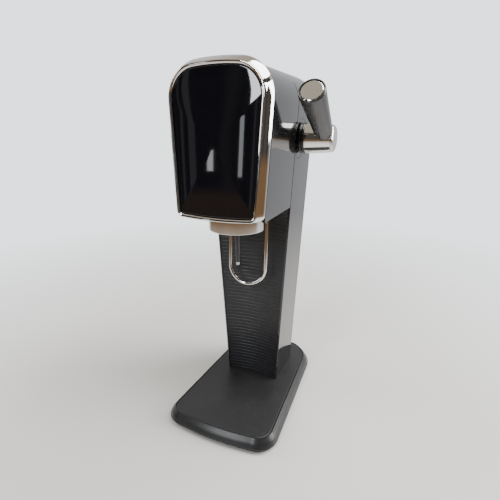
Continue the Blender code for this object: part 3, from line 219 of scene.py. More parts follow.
def fillet(points, radius, steps=4, closed=False):
    """A profile with every corner rounded by about a radius, less where its edges are short."""
    result = []
    count = len(points)
    for i, point in enumerate(points):
        if not closed and i in (0, count - 1):
            result.append(tuple(point))
            continue
        here = Vector(point)
        before, after = Vector(points[i - 1]) - here, Vector(points[(i + 1) % count]) - here
        reach = min(radius, before.length * 0.45, after.length * 0.45)
        start, end = here + before.normalized() * reach, here + after.normalized() * reach
        for step in range(steps + 1):
            t = step / steps
            result.append(tuple(start * (1 - t) ** 2 + here * 2 * t * (1 - t) + end * t**2))
    return result


# ---- Meshes -----------------------------------------------------------------------------------
def loft(loops, ring=False, caps=True):
    """Skin through closed loops of equal length: a capped solid, or a ring that comes back to its start."""
    bm = bmesh.new()
    rows = [[bm.verts.new(point) for point in loop] for loop in loops]
    for near, far in zip(rows, rows[1:] + rows[:1] if ring else rows[1:]):
        for i in range(len(near)):
            j = (i + 1) % len(near)
            bm.faces.new((near[i], near[j], far[j], far[i]))
    if caps and not ring:
        bm.faces.new(rows[0])
        bm.faces.new(rows[-1])
    return bm


def lathe(profile, steps=96, closed=False):
    """A profile of (radius, height) turned about Z; points on the axis close it."""
    bm = bmesh.new()
    rows = []
    for radius, height in profile:
        if radius < 1e-7:
            rows.append([bm.verts.new((0.0, 0.0, height))])
        else:
            rows.append([bm.verts.new((radius * math.cos(math.tau * i / steps),
                                       radius * math.sin(math.tau * i / steps), height)) for i in range(steps)])
    for near, far in zip(rows, rows[1:] + rows[:1] if closed else rows[1:]):
        if len(near) == len(far) == 1:
            continue
        for i in range(steps):
            j = (i + 1) % steps
            corners = [near[i % len(near)], near[j % len(near)], far[j % len(far)], far[i % len(far)]]
            bm.faces.new(list(dict.fromkeys(corners)))
    return bm


def tube(points, radius, sides=24):
    """A round wire along points in one plane or in space, with flat ends."""
    route = [Vector(point) for point in points]
    headings = [(route[min(i + 1, len(route) - 1)] - route[max(i - 1, 0)]).normalized() for i in range(len(route))]
    across = headings[0].orthogonal().normalized()
    loops = []
    for point, heading in zip(route, headings):
        across = (across - heading * across.dot(heading)).normalized()
        other = heading.cross(across)
        turns = [math.tau * k / sides for k in range(sides)]
        loops.append([point + radius * (across * math.cos(turn) + other * math.sin(turn)) for turn in turns])
    return loft(loops)


def tower_skin(section, z_low):
    """Sweeps a closed section of (inset, y at a height) over the tower's arch, open at the foot."""
    arches = [arch(inset, z_low) for inset, _ in section]
    loops = [[(ring[i][0], y(ring[i][1]), ring[i][1]) for ring, (_, y) in zip(arches, section)]
             for i in range(len(arches[0]))]
    return loft(loops)


def as_mesh(bm, name, matrix=None):
    bmesh.ops.recalc_face_normals(bm, faces=bm.faces)
    mesh = bpy.data.meshes.new(name)
    bm.to_mesh(mesh)
    bm.free()
    if matrix is not None:
        mesh.transform(matrix)
    return mesh


def carved(obj, cutters, operation="DIFFERENCE", solver="EXACT"):
    """Applies Booleans with meshes that are in place already; a cut that leaves nothing stops the script."""
    for index, mesh in enumerate(cutters):
        tool = bpy.data.objects.new(f"{obj.name}_tool_{index}", mesh)
        bpy.context.scene.collection.objects.link(tool)
        boolean = obj.modifiers.new("carve", "BOOLEAN")
        boolean.operation, boolean.solver, boolean.object = operation, solver, tool
        bpy.context.view_layer.update()
        evaluated = obj.evaluated_get(bpy.context.evaluated_depsgraph_get())
        result = bpy.data.meshes.new_from_object(evaluated)
        if not result.polygons:
            raise RuntimeError(f"the {solver} Boolean left nothing of {obj.name}")
        obj.modifiers.clear()
        obj.data = result
        bpy.data.objects.remove(tool)


def piece(name, bm, material, body, nodes, sharp=32, matrix=None, cuts=(), joins=(), solver="EXACT"):
    """One finished piece: it rides on a CAD body, hides the CAD nodes that it stands for and takes a material."""
    obj = bpy.data.objects.new(name, as_mesh(bm, name, matrix))
    bpy.context.scene.collection.objects.link(obj)
    carved(obj, joins, "UNION")
    carved(obj, cuts, solver=solver)
    mesh = obj.data
    mesh.name = name
    mesh.materials.clear()
    mesh.materials.append(material)
    mesh.polygons.foreach_set("material_index", [0] * len(mesh.polygons))
    mesh.shade_smooth()
    mesh.set_sharp_from_angle(angle=math.radians(sharp))
    weighted = obj.modifiers.new("even shading", "WEIGHTED_NORMAL")
    weighted.keep_sharp = True
    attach(obj, body)
    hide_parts(*nodes)
    return obj


def rod(radius, bottom, top, matrix, steps=96):
    return as_mesh(lathe([(0, top), (radius, top), (radius, bottom), (0, bottom)], steps), "tool", matrix)


ALONG_X = Matrix.Rotation(math.pi / 2, 4, "Y")  # turns a turned piece's own Z axis onto +X
ABOUT_LEVER = Matrix.Translation((0, LEVER_AXIS.y, LEVER_AXIS.z)) @ ALONG_X


# ---- Materials --------------------------------------------------------------------------------
def multiplied(tree, first, second):
    node = tree.nodes.new("ShaderNodeMath")
    node.operation = "MULTIPLY"
    tree.links.new(first, node.inputs[0])
    tree.links.new(second, node.inputs[1])
    return node.outputs[0]


def noise(tree, coordinates, scale, detail=3.0, roughness=0.55):
    node = tree.nodes.new("ShaderNodeTexNoise")
    node.inputs["Scale"].default_value = scale
    node.inputs["Detail"].default_value = detail
    node.inputs["Roughness"].default_value = roughness
    tree.links.new(coordinates, node.inputs["Vector"])
    return node.outputs["Fac"]


def mapped(tree, value, from_low, from_high, to_low, to_high):
    node = tree.nodes.new("ShaderNodeMapRange")
    for key, number in zip(("From Min", "From Max", "To Min", "To Max"), (from_low, from_high, to_low, to_high)):
        node.inputs[key].default_value = number
    tree.links.new(value, node.inputs["Value"])
    return node.outputs["Result"]


def mixed(tree, factor, first, second):
    """Mixes two colours; each is a colour or another mix's output."""
    node = tree.nodes.new("ShaderNodeMix")
    node.data_type = "RGBA"
    tree.links.new(factor, node.inputs["Factor"])
    for key, colour in (("A", first), ("B", second)):
        socket = next(s for s in node.inputs if s.name == key and s.type == "RGBA")
        if isinstance(colour, tuple):
            socket.default_value = (*colour, 1.0)
        else:
            tree.links.new(colour, socket)
    return next(s for s in node.outputs if s.type == "RGBA")


def bumped(tree, height, distance, normal=None):
    node = tree.nodes.new("ShaderNodeBump")
    node.inputs["Distance"].default_value = distance
    tree.links.new(height, node.inputs["Height"])
    if normal is not None:
        tree.links.new(normal, node.inputs["Normal"])
    return node.outputs["Normal"]


DUST_COLOUR = (0.42, 0.41, 0.39)


def surface(name, colour, roughness, metallic=0.0, tint=None, mottle=0.12, handling=0.25, waves=None,
            grain=None, drawn=None, dust=0.0, coat=0.0, specular=0.5):
    """A procedural finish.

    The colour drifts towards tint by mottle, and the roughness drifts both ways by its share handling. waves
    and grain are (scale, depth) of the slow and the fine relief, and drawn is (axis scales, depth) of tool or
    draw marks. dust is the share of light specks.
    """
    material = bpy.data.materials.new(name)
    material.use_nodes = True
    tree = material.node_tree
    shader = tree.nodes["Principled BSDF"]
    shader.inputs["Metallic"].default_value = metallic
    shader.inputs["Coat Weight"].default_value = coat
    shader.inputs["Coat Roughness"].default_value = 0.04
    shader.inputs["Specular IOR Level"].default_value = specular
    place = tree.nodes.new("ShaderNodeTexCoord").outputs["Object"]
    tint = tint or tuple(min(1.0, c * 1.6 + 0.004) for c in colour)
    drift = mapped(tree, noise(tree, place, 34.0, 4.0), 0.35, 0.65, 0.0, mottle)
    shade = mixed(tree, drift, colour, tint)
    if dust:
        specks = mapped(tree, noise(tree, place, 1150.0, 1.0), 0.735, 0.77, 0.0, dust)
        patches = mapped(tree, noise(tree, place, 21.0, 2.0), 0.40, 0.62, 0.25, 1.0)
        shade = mixed(tree, multiplied(tree, specks, patches), shade, DUST_COLOUR)
    tree.links.new(shade, shader.inputs["Base Color"])
    worn = noise(tree, place, 17.0, 5.0, 0.6)
    tree.links.new(mapped(tree, worn, 0.30, 0.70, roughness * (1 - handling), roughness * (1 + handling)),
                   shader.inputs["Roughness"])
    normal = None
    if waves:
        normal = bumped(tree, noise(tree, place, waves[0], 1.0), waves[1], normal)
    if drawn:
        stretched = tree.nodes.new("ShaderNodeMapping")
        stretched.inputs["Scale"].default_value = drawn[0]
        tree.links.new(place, stretched.inputs["Vector"])
        normal = bumped(tree, noise(tree, stretched.outputs["Vector"], 1.0, 3.0), drawn[1], normal)
    if grain:
        normal = bumped(tree, noise(tree, place, grain[0], 2.0), grain[1], normal)
    if normal is not None:
        tree.links.new(normal, shader.inputs["Normal"])
    return material


GLOSS = surface("gloss_black_shell", (0.012, 0.012, 0.013), 0.085, mottle=0.10, handling=0.30,
                waves=(95.0, 2.5e-6), dust=0.10, coat=0.35)
PIANO = surface("piano_black_glass", (0.006, 0.006, 0.009), 0.035, mottle=0.08, handling=0.35,
                waves=(38.0, 1.6e-6), dust=0.12, coat=0.25)
SATIN = surface("satin_black_moulding", (0.012, 0.012, 0.013), 0.34, mottle=0.25, handling=0.15,
                waves=(140.0, 6e-6), grain=(2600.0, 2.2e-5), dust=0.22)
MATT = surface("matt_black_moulding", (0.013, 0.013, 0.014), 0.45, mottle=0.30, handling=0.12,
               waves=(120.0, 8e-6), grain=(1900.0, 4.5e-5), dust=0.55)
GRIP = surface("grip_black", (0.085, 0.085, 0.088), 0.23, metallic=0.55, tint=(0.06, 0.06, 0.06),
               mottle=0.25, handling=0.20, waves=(150.0, 5e-6), grain=(2400.0, 2.6e-5), dust=0.15)
RIBBED = surface("ribbed_black_moulding", (0.011, 0.011, 0.014), 0.38, mottle=0.30, handling=0.15,
                 waves=(130.0, 6e-6), grain=(2500.0, 2.0e-5), dust=0.22)
UNDERSIDE = surface("moulded_grey_floor", (0.060, 0.060, 0.062), 0.58, mottle=0.35, handling=0.10,
                    grain=(1500.0, 5e-5))
CHROME = surface("mirror_chrome", (0.80, 0.785, 0.765), 0.045, metallic=1.0, tint=(0.74, 0.73, 0.72),
                 mottle=0.5, handling=0.45, waves=(70.0, 2.5e-6))
STEEL = surface("turned_steel", (0.54, 0.54, 0.55), 0.30, metallic=1.0, tint=(0.44, 0.43, 0.42),
                mottle=0.5, drawn=((900.0, 900.0, 60.0), 1.2e-5), grain=(2200.0, 6e-6))
SPRING = surface("spring_wire", (0.38, 0.38, 0.40), 0.34, metallic=1.0, tint=(0.28, 0.26, 0.24),
                 mottle=0.6, drawn=((1500.0, 1500.0, 120.0), 8e-6))
GALVANISED = surface("galvanised_sheet", (0.60, 0.61, 0.62), 0.44, metallic=1.0, tint=(0.45, 0.47, 0.50),
                     mottle=0.9, handling=0.3, waves=(260.0, 8e-6), grain=(1400.0, 1.2e-5))
BRASS = surface("turned_brass", (0.72, 0.50, 0.21), 0.28, metallic=1.0, tint=(0.55, 0.36, 0.14),
                mottle=0.5, drawn=((120.0, 120.0, 1400.0), 1.0e-5))
RUBBER = surface("black_rubber", (0.016, 0.016, 0.016), 0.78, mottle=0.4, handling=0.08,
                 grain=(1700.0, 6e-5), dust=0.5, specular=0.3)
DARK = surface("dark_moulding", (0.033, 0.033, 0.034), 0.42, mottle=0.3, handling=0.15,
               grain=(2300.0, 2.5e-5), dust=0.1)
PALE = surface("pale_moulding", (0.68, 0.66, 0.60), 0.40, mottle=0.3, tint=(0.60, 0.57, 0.50),
               grain=(2300.0, 1.5e-5), specular=0.45)
HOSE = surface("grey_hose", (0.24, 0.24, 0.25), 0.52, mottle=0.4, tint=(0.18, 0.18, 0.19),
               drawn=((500.0, 500.0, 500.0), 1.6e-5))
PAINT = surface("blue_grey_paint", (0.14, 0.22, 0.33), 0.33, mottle=0.4, tint=(0.11, 0.18, 0.28),
                waves=(210.0, 1.0e-5), dust=0.1, coat=0.2)

CARRIED = [
    (UNDERSIDE, ["base_floor"]),
    (SATIN, ["head_underplate"]),
    (DARK, ["nozzle_block", "valve_block"]),
    (HOSE, ["gas_hose"]),
    (GALVANISED, ["spine_plate", "head_frame", "loop_bracket_left", "loop_bracket_right"]),
    (BRASS, ["shaft_bush_left", "shaft_bush_right", "valve_plunger", "cylinder_valve", "relief_valve"]),
    (SPRING, ["lever_return_spring", "plunger_spring"]),
    (RUBBER, ["bottle_seal", "cylinder_seat", "foot_front_left", "foot_front_right", "foot_rear_left",
              "foot_rear_right", "foot_centre"]),
    (STEEL, ["lever_shaft", "grip_stud", "drive_cam", "rocker_arm", "rocker_pin", "valve_pin", "loop_eye_left",
             "loop_eye_right", "loop_pin_left", "loop_pin_right",
             *(f"collar_screw_{i}" for i in (1, 2, 3)), *(f"base_screw_{i}" for i in (1, 2, 3, 4))]),
]


def dress_carried_nodes():
    """Gives the CAD nodes that stay their procedural finishes."""
    for material, nodes in CARRIED:
        for node in nodes:
            for holder in frame["nodes"][node].material_slots:
                holder.material = material


# ---- Tower ------------------------------------------------------------------------------------
def flat_y(y):
    return lambda z: y


def leaning_y(depth):
    return lambda z: head_front(z) + depth


def recess_tool():
    """The round seat of the escutcheon, through both side walls that it crosses."""
    radius = (high("lever_escutcheon") - low("lever_escutcheon")).y / 2 + GAP
    return rod(radius, half_width(LEVER_AXIS.z) - 0.015, half_width(LEVER_AXIS.z) + 0.010, ABOUT_LEVER)


def build_tower():
    """The head shell, the column shell behind and below it, and the removable cover at the rear."""
    front = leaning_y(BEZEL_DEPTH + GAP)
    section = [(EDGE, front), (0.0, leaning_y(BEZEL_DEPTH + GAP + EDGE)), (0.0, flat_y(HEAD_SEAM - SEAM_EDGE)),
               (SEAM_EDGE, flat_y(HEAD_SEAM)), (WALL, flat_y(HEAD_SEAM)), (WALL, front)]
    piece("head_shell_skin", tower_skin(section, HEAD_BOTTOM), GLOSS, "root", ["head_shell"],
          cuts=[recess_tool()])

    section = [(SEAM_EDGE, flat_y(COLUMN_FRONT)), (0.0, flat_y(COLUMN_FRONT + SEAM_EDGE)),
               (0.0, flat_y(COVER_SEAM - EDGE)), (EDGE, flat_y(COVER_SEAM)), (WALL, flat_y(COVER_SEAM)),
               (WALL, flat_y(COLUMN_FRONT))]
    piece("column_shell_skin", tower_skin(section, FOOT), GLOSS, "root", ["column_shell"],
          cuts=[recess_tool()])

    outside = cover_block(0.0, COVER_FRONT, FOOT)
    inside = as_mesh(cover_block(WALL, COVER_FRONT - COVER_CUT_MARGIN, FOOT - COVER_CUT_MARGIN), "tool")
    # The EXACT solver leaves nothing of this pair of blocks; MANIFOLD gives the closed shell.
    piece("rear_cover_skin", outside, GLOSS, "rear_cover", ["rear_cover"], cuts=[inside],
          solver="MANIFOLD")


def cover_block(inset, front_y, z_low, steps=14):
    """The tower outline as a block whose rear rim is rounded, drawn in by an inset on every side."""
    radius = COVER_EDGE_RADIUS - inset
    rear = COVER_REAR - inset
    stations = [(inset, front_y)] if inset else [(EDGE, front_y), (0.0, front_y + EDGE)]
    for step in range(steps + 1):
        angle = math.pi / 2 * step / steps
        stations.append((inset + radius * (1 - math.cos(angle)), rear - radius * (1 - math.sin(angle))))
    return loft([[(x, y, z) for x, z in arch(draw_in, z_low)] for draw_in, y in stations])


def build_ribbed_panel():
    """The column's hollow front, moulded with level grooves."""
    bottom, top = low("column_front_panel").z, high("column_front_panel").z
    front_y = low("column_front_panel").y
    count = int((top - bottom) / RIB_PITCH)
    first = bottom + (top - bottom - (count - 1) * RIB_PITCH) / 2
    levels = [(bottom, 0.0), (bottom + RIB_END_STRIP, 0.0)]
    # one groove: places along its width from its middle, and the share of the full depth there
    shape = [(-0.5, 0.0), (-0.34, 0.22), (-0.17, 0.78), (0.0, 1.0), (0.17, 0.78), (0.34, 0.22), (0.5, 0.0)]
    for index in range(count):
        middle = first + index * RIB_PITCH
        levels += [(middle + RIB_GROOVE_WIDTH * along, RIB_GROOVE_DEPTH * share) for along, share in shape]
    levels += [(top - RIB_END_STRIP, 0.0), (top, 0.0)]
    steps = 32
    loops = []
    for z, depth in levels:
        half = half_width(z) - WALL - GAP
        shares = [2 * i / steps - 1 for i in range(steps + 1)]
        line = [(half * s, front_y + COLUMN_HOLLOW * (1 - s * s)) for s in shares]
        loops.append([(x, y + depth, z) for x, y in line] + [(x, y + WALL, z) for x, y in reversed(line)])
    piece("column_ribbed_front", loft(loops), RIBBED, "root", ["column_front_panel"], sharp=50)


# ---- Head front -------------------------------------------------------------------------------
def build_head_front():
    """The chrome bezel, a ring of stations (inset, lift, depth), and the bulged panel that it frames."""
    rim_inner = BEZEL_DRAW_IN + RIM_WIDTH
    outside = [
        (rim_inner, RIM_WIDTH, BEZEL_REBATE), (rim_inner, RIM_WIDTH, 0.0016),
        (rim_inner - 0.0005, RIM_WIDTH - 0.0005, 0.0009),
        (rim_inner - 0.0016, RIM_WIDTH - 0.0014, 0.0003), (BEZEL_DRAW_IN + 0.0016, 0.0014, 0.0),
        (BEZEL_DRAW_IN + 0.0007, 0.0007, 0.0002), (BEZEL_DRAW_IN + 0.0001, 0.0002, 0.0009),
        (BEZEL_DRAW_IN - 0.0004, 0.0, 0.0020), (BEZEL_DRAW_IN * 0.66, 0.0, 0.0044),
        (BEZEL_DRAW_IN * 0.32, 0.0, 0.0074), (0.0003, 0.0, BEZEL_DEPTH - 0.0006), (0.0003, 0.0003, BEZEL_DEPTH),
        (WALL + FRONT_TOP - TOP, WALL, BEZEL_DEPTH),
    ]
    piece("front_bezel_chrome", loft([face_loop(*station) for station in outside], ring=True), CHROME, "root",
          ["front_bezel"], sharp=48)

    rim = face_loop(rim_inner + GAP, RIM_WIDTH + GAP, 0.0)
    middle = Vector((0.0, 0.0, (low("front_panel").z + high("front_panel").z) / 2))
    middle.y = head_front(middle.z)
    setback = low("front_panel").y - head_front(low("front_panel").z)

    def ring_at(share, depth):
        return [Vector(p).lerp(middle, 1 - share) + Vector((0, depth, 0)) for p in rim]

    loops = [ring_at(1.0, setback + PANEL_THICKNESS), ring_at(1.0, setback + PANEL_EDGE)]
    for turn in (0.3, 0.6, 0.85, 1.0):
        share = 1 - PANEL_EDGE / HEAD_HALF * (1 - math.cos(math.pi / 2 * turn))
        loops.append(ring_at(share, setback + PANEL_EDGE * (1 - math.sin(math.pi / 2 * turn))))
    for share in (*(index / 14 for index in range(13, 0, -1)), 0.02):
        loops.append(ring_at(share, setback - PANEL_BULGE * (1 - share**2.2)))
    piece("front_panel_gloss", loft(loops), PIANO, "root", ["front_panel"], sharp=60)


# ---- Base -------------------------------------------------------------------------------------
def build_base():
    """The skirt, a ring of stations (inset, height), and the top plate that sits on its ledge."""
    top, bottom = high("base_shell").z, low("base_shell").z
    ledge = top - TOP_PLATE_THICKNESS - GAP
    inset = BASE_TOP_INSET
    band = [(0.0010 + (inset - 0.0032) * t - 0.0006 * math.sin(math.pi * t), 0.0084 + (top - 0.0096) * t)
            for t in (0.0, 0.15, 0.3, 0.45, 0.6, 0.75, 0.9, 1.0)]
    section = [
        (0.0032, bottom), (0.0030, 0.0030), (0.0027, 0.0044), (0.0023, 0.0048), (0.0008, 0.0051), (0.0003, 0.0054),
        (0.0, 0.0060), (0.0001, 0.0067), (0.0005, 0.0076), *band,
        (inset - 0.0016, top - 0.0004), (inset - 0.0012, top), (inset - 0.0005, top), (inset - 0.0001, top - 0.0003),
        (inset, top - 0.0010), (inset, ledge), (inset + LEDGE_WIDTH, ledge), (inset + LEDGE_WIDTH, ledge - WALL),
        (0.0038 + WALL, ledge - WALL), (0.0012 + WALL, 0.0062), (0.0032 + WALL, bottom),
    ]
    piece("base_skirt", loft([base_loop(*station) for station in section], ring=True), SATIN, "root",
          ["base_shell"], sharp=40)

    low_z = top - TOP_PLATE_THICKNESS
    edge = inset + GAP
    plate = loft([base_loop(edge, low_z), base_loop(edge, top - 0.0009), base_loop(edge + 0.0003, top - 0.0004),
                  base_loop(edge + 0.0009, top - 0.0001), base_loop(edge + 0.0016, top)])
    bosses = [base_boss(index, BOSS_RADIUS, low("base_top_plate").z, low_z + 0.0010) for index in range(1, 5)]
    bores = [base_boss(index, SCREW_BORE, 0.0, 0.0123) for index in range(1, 5)]
    spine_low, spine_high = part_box("spine_plate")
    slot = bmesh.new()
    size = spine_high - spine_low + Vector((2 * GAP, 2 * GAP, 0))
    bmesh.ops.create_cube(slot, matrix=Matrix.Translation((spine_low + spine_high) / 2) @ Matrix.Diagonal((*size, 1)))
    hole_radius = (high("gas_cylinder") - low("gas_cylinder")).x / 2 + 0.0012
    cylinder_hole = rod(hole_radius, 0.0, top + 0.010, Matrix.Translation(CYLINDER_AXIS))
    piece("base_top_plate_skin", plate, MATT, "root", ["base_top_plate"],
          joins=bosses, cuts=[*bores, as_mesh(slot, "tool"), cylinder_hole])


def base_boss(index, radius, bottom, top):
    """An upright rod about the axis of one base screw, used for its boss and for its bore."""
    middle = centre(f"base_screw_{index}")
    return rod(radius, bottom, top, Matrix.Translation((middle.x, middle.y, 0)), 24)


# ---- Bottle fittings --------------------------------------------------------------------------
def build_bottle_fittings():
    """What a bottle meets under the head: the collar, the nozzle with its tip, and the guide loop."""
    box_low, box_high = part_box("bottle_collar")
    radius, top, bottom = (box_high - box_low).x / 2, box_high.z, box_low.z
    profile = fillet([(COLLAR_HOLE, top), (radius, top), (radius, bottom), (radius - COLLAR_WALL, bottom),
                      (radius - COLLAR_WALL, top - WALL), (COLLAR_HOLE, top - WALL)], 0.0009, closed=True)
    bores = [rod(SCREW_BORE, top - 0.006, top + 0.002, Matrix.Translation((p.x, p.y, 0)), 24)
             for p in (centre(f"collar_screw_{i}") for i in (1, 2, 3))]
    piece("bottle_collar_chrome", lathe(profile, 144, closed=True), CHROME, "root", ["bottle_collar"],
          cuts=bores)

    box_low, box_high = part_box("nozzle_tube")
    radius = (box_high - box_low).x / 2
    stem = [(0, box_high.z), (radius, box_high.z), (radius, box_low.z + 0.0090),
            (radius - 0.0004, box_low.z + 0.0085), (radius - 0.0005, box_low.z), (0, box_low.z)]
    piece("nozzle_stem", lathe(fillet(stem, 0.0004), 40), DARK, "root", ["nozzle_tube"])

    box_low, box_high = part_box("nozzle_tip")
    radius = (box_high - box_low).x / 2
    tip = [(0, box_high.z), (radius, box_high.z), (radius, box_low.z + 0.0012), (radius * 0.5, box_low.z),
           (radius * 0.24, box_low.z), (radius * 0.24, box_low.z + 0.0020), (0, box_low.z + 0.0020)]
    piece("nozzle_end", lathe(fillet(tip, 0.0003), 40), PALE, "root", ["nozzle_tip"])
    build_loop()


def build_loop():
    """The guide loop, one bent wire in the plane that its own CAD solid lies in."""
    corners = [v.co - LOOP_AXIS for v in frame["nodes"]["guide_loop"].data.vertices]
    down = sum(corners, Vector())
    down.x = 0.0
    down.normalize()
    half = max(corner.x for corner in corners) - LOOP_WIRE
    start = min(corner.dot(down) for corner in corners)
    straight = max(corner.dot(down) for corner in corners) - LOOP_WIRE - half
    leg = [start + (straight - start) * i / 10 for i in range(10)]
    route = [(-half, along) for along in leg] + arc((0.0, straight), half, math.pi, 0.0, 56)
    route += [(half, along) for along in reversed(leg)]
    points = [LOOP_AXIS + Vector((x, 0, 0)) + down * along for x, along in route]
    piece("guide_loop_wire", tube(points, LOOP_WIRE), CHROME, "guide_loop", ["guide_loop"], sharp=60)


# ---- Lever ------------------------------------------------------------------------------------
def build_lever():
    """The lever at the side, from the escutcheon on the housing out to the cap of its grip."""
    side = half_width(LEVER_AXIS.z)
    shaft = (high("lever_shaft") - low("lever_shaft")).z / 2
    bore = shaft + GAP

    plate_radius = (high("lever_escutcheon") - low("lever_escutcheon")).y / 2
    tilt = Matrix.Translation((side, LEVER_AXIS.y, LEVER_AXIS.z)) @ Matrix.Rotation(
        math.pi / 2 + math.atan(TAPER), 4, "Y")
    ring = fillet([(bore + 0.0020, 0.0), (plate_radius, 0.0), (plate_radius, -WALL), (bore + 0.0020, -WALL)],
                  0.0005, closed=True)
    piece("lever_escutcheon_skin", lathe(ring, 128, closed=True), GLOSS, "root", ["lever_escutcheon"],
          matrix=tilt)

    start, end = low("lever_flange").x, high("lever_flange").x
    radius = (high("lever_flange") - low("lever_flange")).z / 2
    groove = start + (end - start) * 0.52
    flange = fillet([(bore, end), (radius - 0.0004, end), (radius, end - 0.0006), (radius, groove + 0.0007),
                     (radius - 0.0009, groove + 0.0003), (radius - 0.0009, groove - 0.0003),
                     (radius, groove - 0.0007), (radius, start + 0.0012), (radius - 0.0012, start), (bore, start)],
                    0.0006, closed=True)
    piece("lever_flange_gloss", lathe(flange, 128, closed=True), GLOSS, "lever", ["lever_flange"],
          matrix=ABOUT_LEVER)

    start, end = low("lever_hub").x, high("lever_hub").x
    inner_radius = (high("lever_hub") - low("lever_hub")).z / 2
    cap_radius = (high("hub_end_cap") - low("hub_end_cap")).z / 2
    outer_radius = cap_radius + 0.0002
    shaft_end = high("lever_shaft").x + GAP
    hub = [(0, end), (outer_radius, end), (inner_radius, start), (bore, start), (bore, shaft_end), (0, shaft_end)]
    cap_start, cap_end = low("hub_end_cap").x, high("hub_end_cap").x
    grip_middle = centre("grip_end_cap")
    reach = Vector((0.0, grip_middle.y - LEVER_AXIS.y, grip_middle.z - LEVER_AXIS.z))
    grip_turn = Matrix.Translation((grip_middle.x, LEVER_AXIS.y, LEVER_AXIS.z)) @ reach.to_track_quat(
        "Z", "X").to_matrix().to_4x4()
    stud = GRIP_STUD + GAP
    piece("lever_hub_chrome", lathe(fillet(hub, 0.0005), 128), CHROME, "lever", ["lever_hub"],
          matrix=ABOUT_LEVER, cuts=[rod(stud, 0.0, 0.030, grip_turn, 32)])
    cap = fillet([(0, cap_end), (cap_radius - 0.0026, cap_end), (cap_radius - 0.0008, cap_end - 0.0010),
                  (cap_radius, cap_start), (0, cap_start)], 0.0005)
    piece("hub_end_cap_chrome", lathe(cap, 128), CHROME, "lever", ["hub_end_cap"], matrix=ABOUT_LEVER)

    def hub_radius(x):
        return inner_radius + (outer_radius - inner_radius) * (x - start) / (end - start)

    length = GRIP_LENGTH
    cap_edge = (high("grip_end_cap") - low("grip_end_cap")).x / 2
    seat = cap_edge + GAP
    seat_floor = length - GRIP_CAP_SEAT
    end_radius = (high("lever_grip") - low("lever_grip")).x / 2
    root = 0.0020  # inside the hub, whose shape is cut from the grip
    grip = [(0, seat_floor), (seat, seat_floor), (seat, length - 0.0006), (seat + 0.0006, length),
            (end_radius - 0.0010, length), (end_radius, length - 0.0014), (GRIP_ROOT_RADIUS, root), (0, root)]
    hollow_start, hollow_end = start - 0.001, cap_end + 0.001
    hollow = as_mesh(lathe([(0, hollow_end), (hub_radius(hollow_end) + GAP, hollow_end),
                            (hub_radius(hollow_start) + GAP, hollow_start), (0, hollow_start)], 128), "tool",
                     ABOUT_LEVER)
    piece("lever_grip_skin", lathe(fillet(grip, 0.0006), 96), GRIP, "lever", ["lever_grip"],
          matrix=grip_turn, cuts=[hollow, rod(stud, 0.0, length * 0.45, grip_turn, 32)])
    top, bottom = length - 0.0002, length - 0.0020
    disc = [(0, top + 0.0001), (cap_edge * 0.6, top), (cap_edge - 0.0012, top - 0.0001), (cap_edge, top - 0.0008),
            (cap_edge, bottom), (0, bottom)]
    piece("grip_end_cap_chrome", lathe(fillet(disc, 0.0005), 96), CHROME, "lever", ["grip_end_cap"],
          matrix=grip_turn)


# ---- Gas cylinder -----------------------------------------------------------------------------
def build_cylinder():
    """The painted gas cylinder: one closed wall, open at its neck, with a domed shoulder and a dished foot."""
    box_low, box_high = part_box("gas_cylinder")
    radius, bottom, top = (box_high - box_low).x / 2, box_low.z, box_high.z
    shoulder = top - CYLINDER_NECK_LENGTH - CYLINDER_SHOULDER

    def dome(inner, outer, height):
        return [(inner + (outer - inner) * math.sin(a), shoulder + height * math.cos(a))
                for a in (math.pi / 2 * i / 20 for i in range(21))]

    wall = CYLINDER_WALL
    foot = fillet([(radius, bottom + 0.012), (radius, bottom), (radius * 0.82, bottom),
                   (radius * 0.66, bottom + 0.0040), (0, bottom + 0.0060)], 0.0050, 8)
    outside = [(CYLINDER_NECK_BORE, top), (CYLINDER_NECK, top), *dome(CYLINDER_NECK, radius, CYLINDER_SHOULDER),
               *foot]
    inside = [(0, bottom + 0.0060 + wall), (radius * 0.62, bottom + 0.0040 + wall), (radius - wall, bottom + 0.012),
              *reversed(dome(CYLINDER_NECK_BORE, radius - wall, CYLINDER_SHOULDER - wall))]
    piece("gas_cylinder_skin", lathe(outside + inside, 96, closed=True), PAINT, "root", ["gas_cylinder"],
          matrix=Matrix.Translation(CYLINDER_AXIS))


# ---- Stage, light and camera ------------------------------------------------------------------
def build_stage():
    """A pale floor that fades into the pale surroundings."""
    bm = bmesh.new()
    bmesh.ops.create_circle(bm, cap_ends=True, segments=96, radius=3.0)
    fade_start, fade_end = 0.30, 1.10
    floor = bpy.data.objects.new("floor", as_mesh(bm, "floor"))
    bpy.context.scene.collection.objects.link(floor)
    material = bpy.data.materials.new("pale_floor")
    material.use_nodes = True
    tree = material.node_tree
    shader = tree.nodes["Principled BSDF"]
    shader.inputs["Base Color"].default_value = (0.72, 0.71, 0.69, 1.0)
    shader.inputs["Roughness"].default_value = 0.55
    clear = tree.nodes.new("ShaderNodeBsdfTransparent")
    mix = tree.nodes.new("ShaderNodeMixShader")
    place = tree.nodes.new("ShaderNodeTexCoord").outputs["Object"]
    away = tree.nodes.new("ShaderNodeVectorMath")
    away.operation = "LENGTH"
    tree.links.new(place, away.inputs[0])
    tree.links.new(mapped(tree, away.outputs["Value"], fade_start, fade_end, 0.0, 1.0), mix.inputs["Fac"])
    tree.links.new(shader.outputs[0], mix.inputs[1])
    tree.links.new(clear.outputs[0], mix.inputs[2])
    tree.links.new(mix.outputs[0], tree.nodes["Material Output"].inputs["Surface"])
    floor.data.materials.append(material)


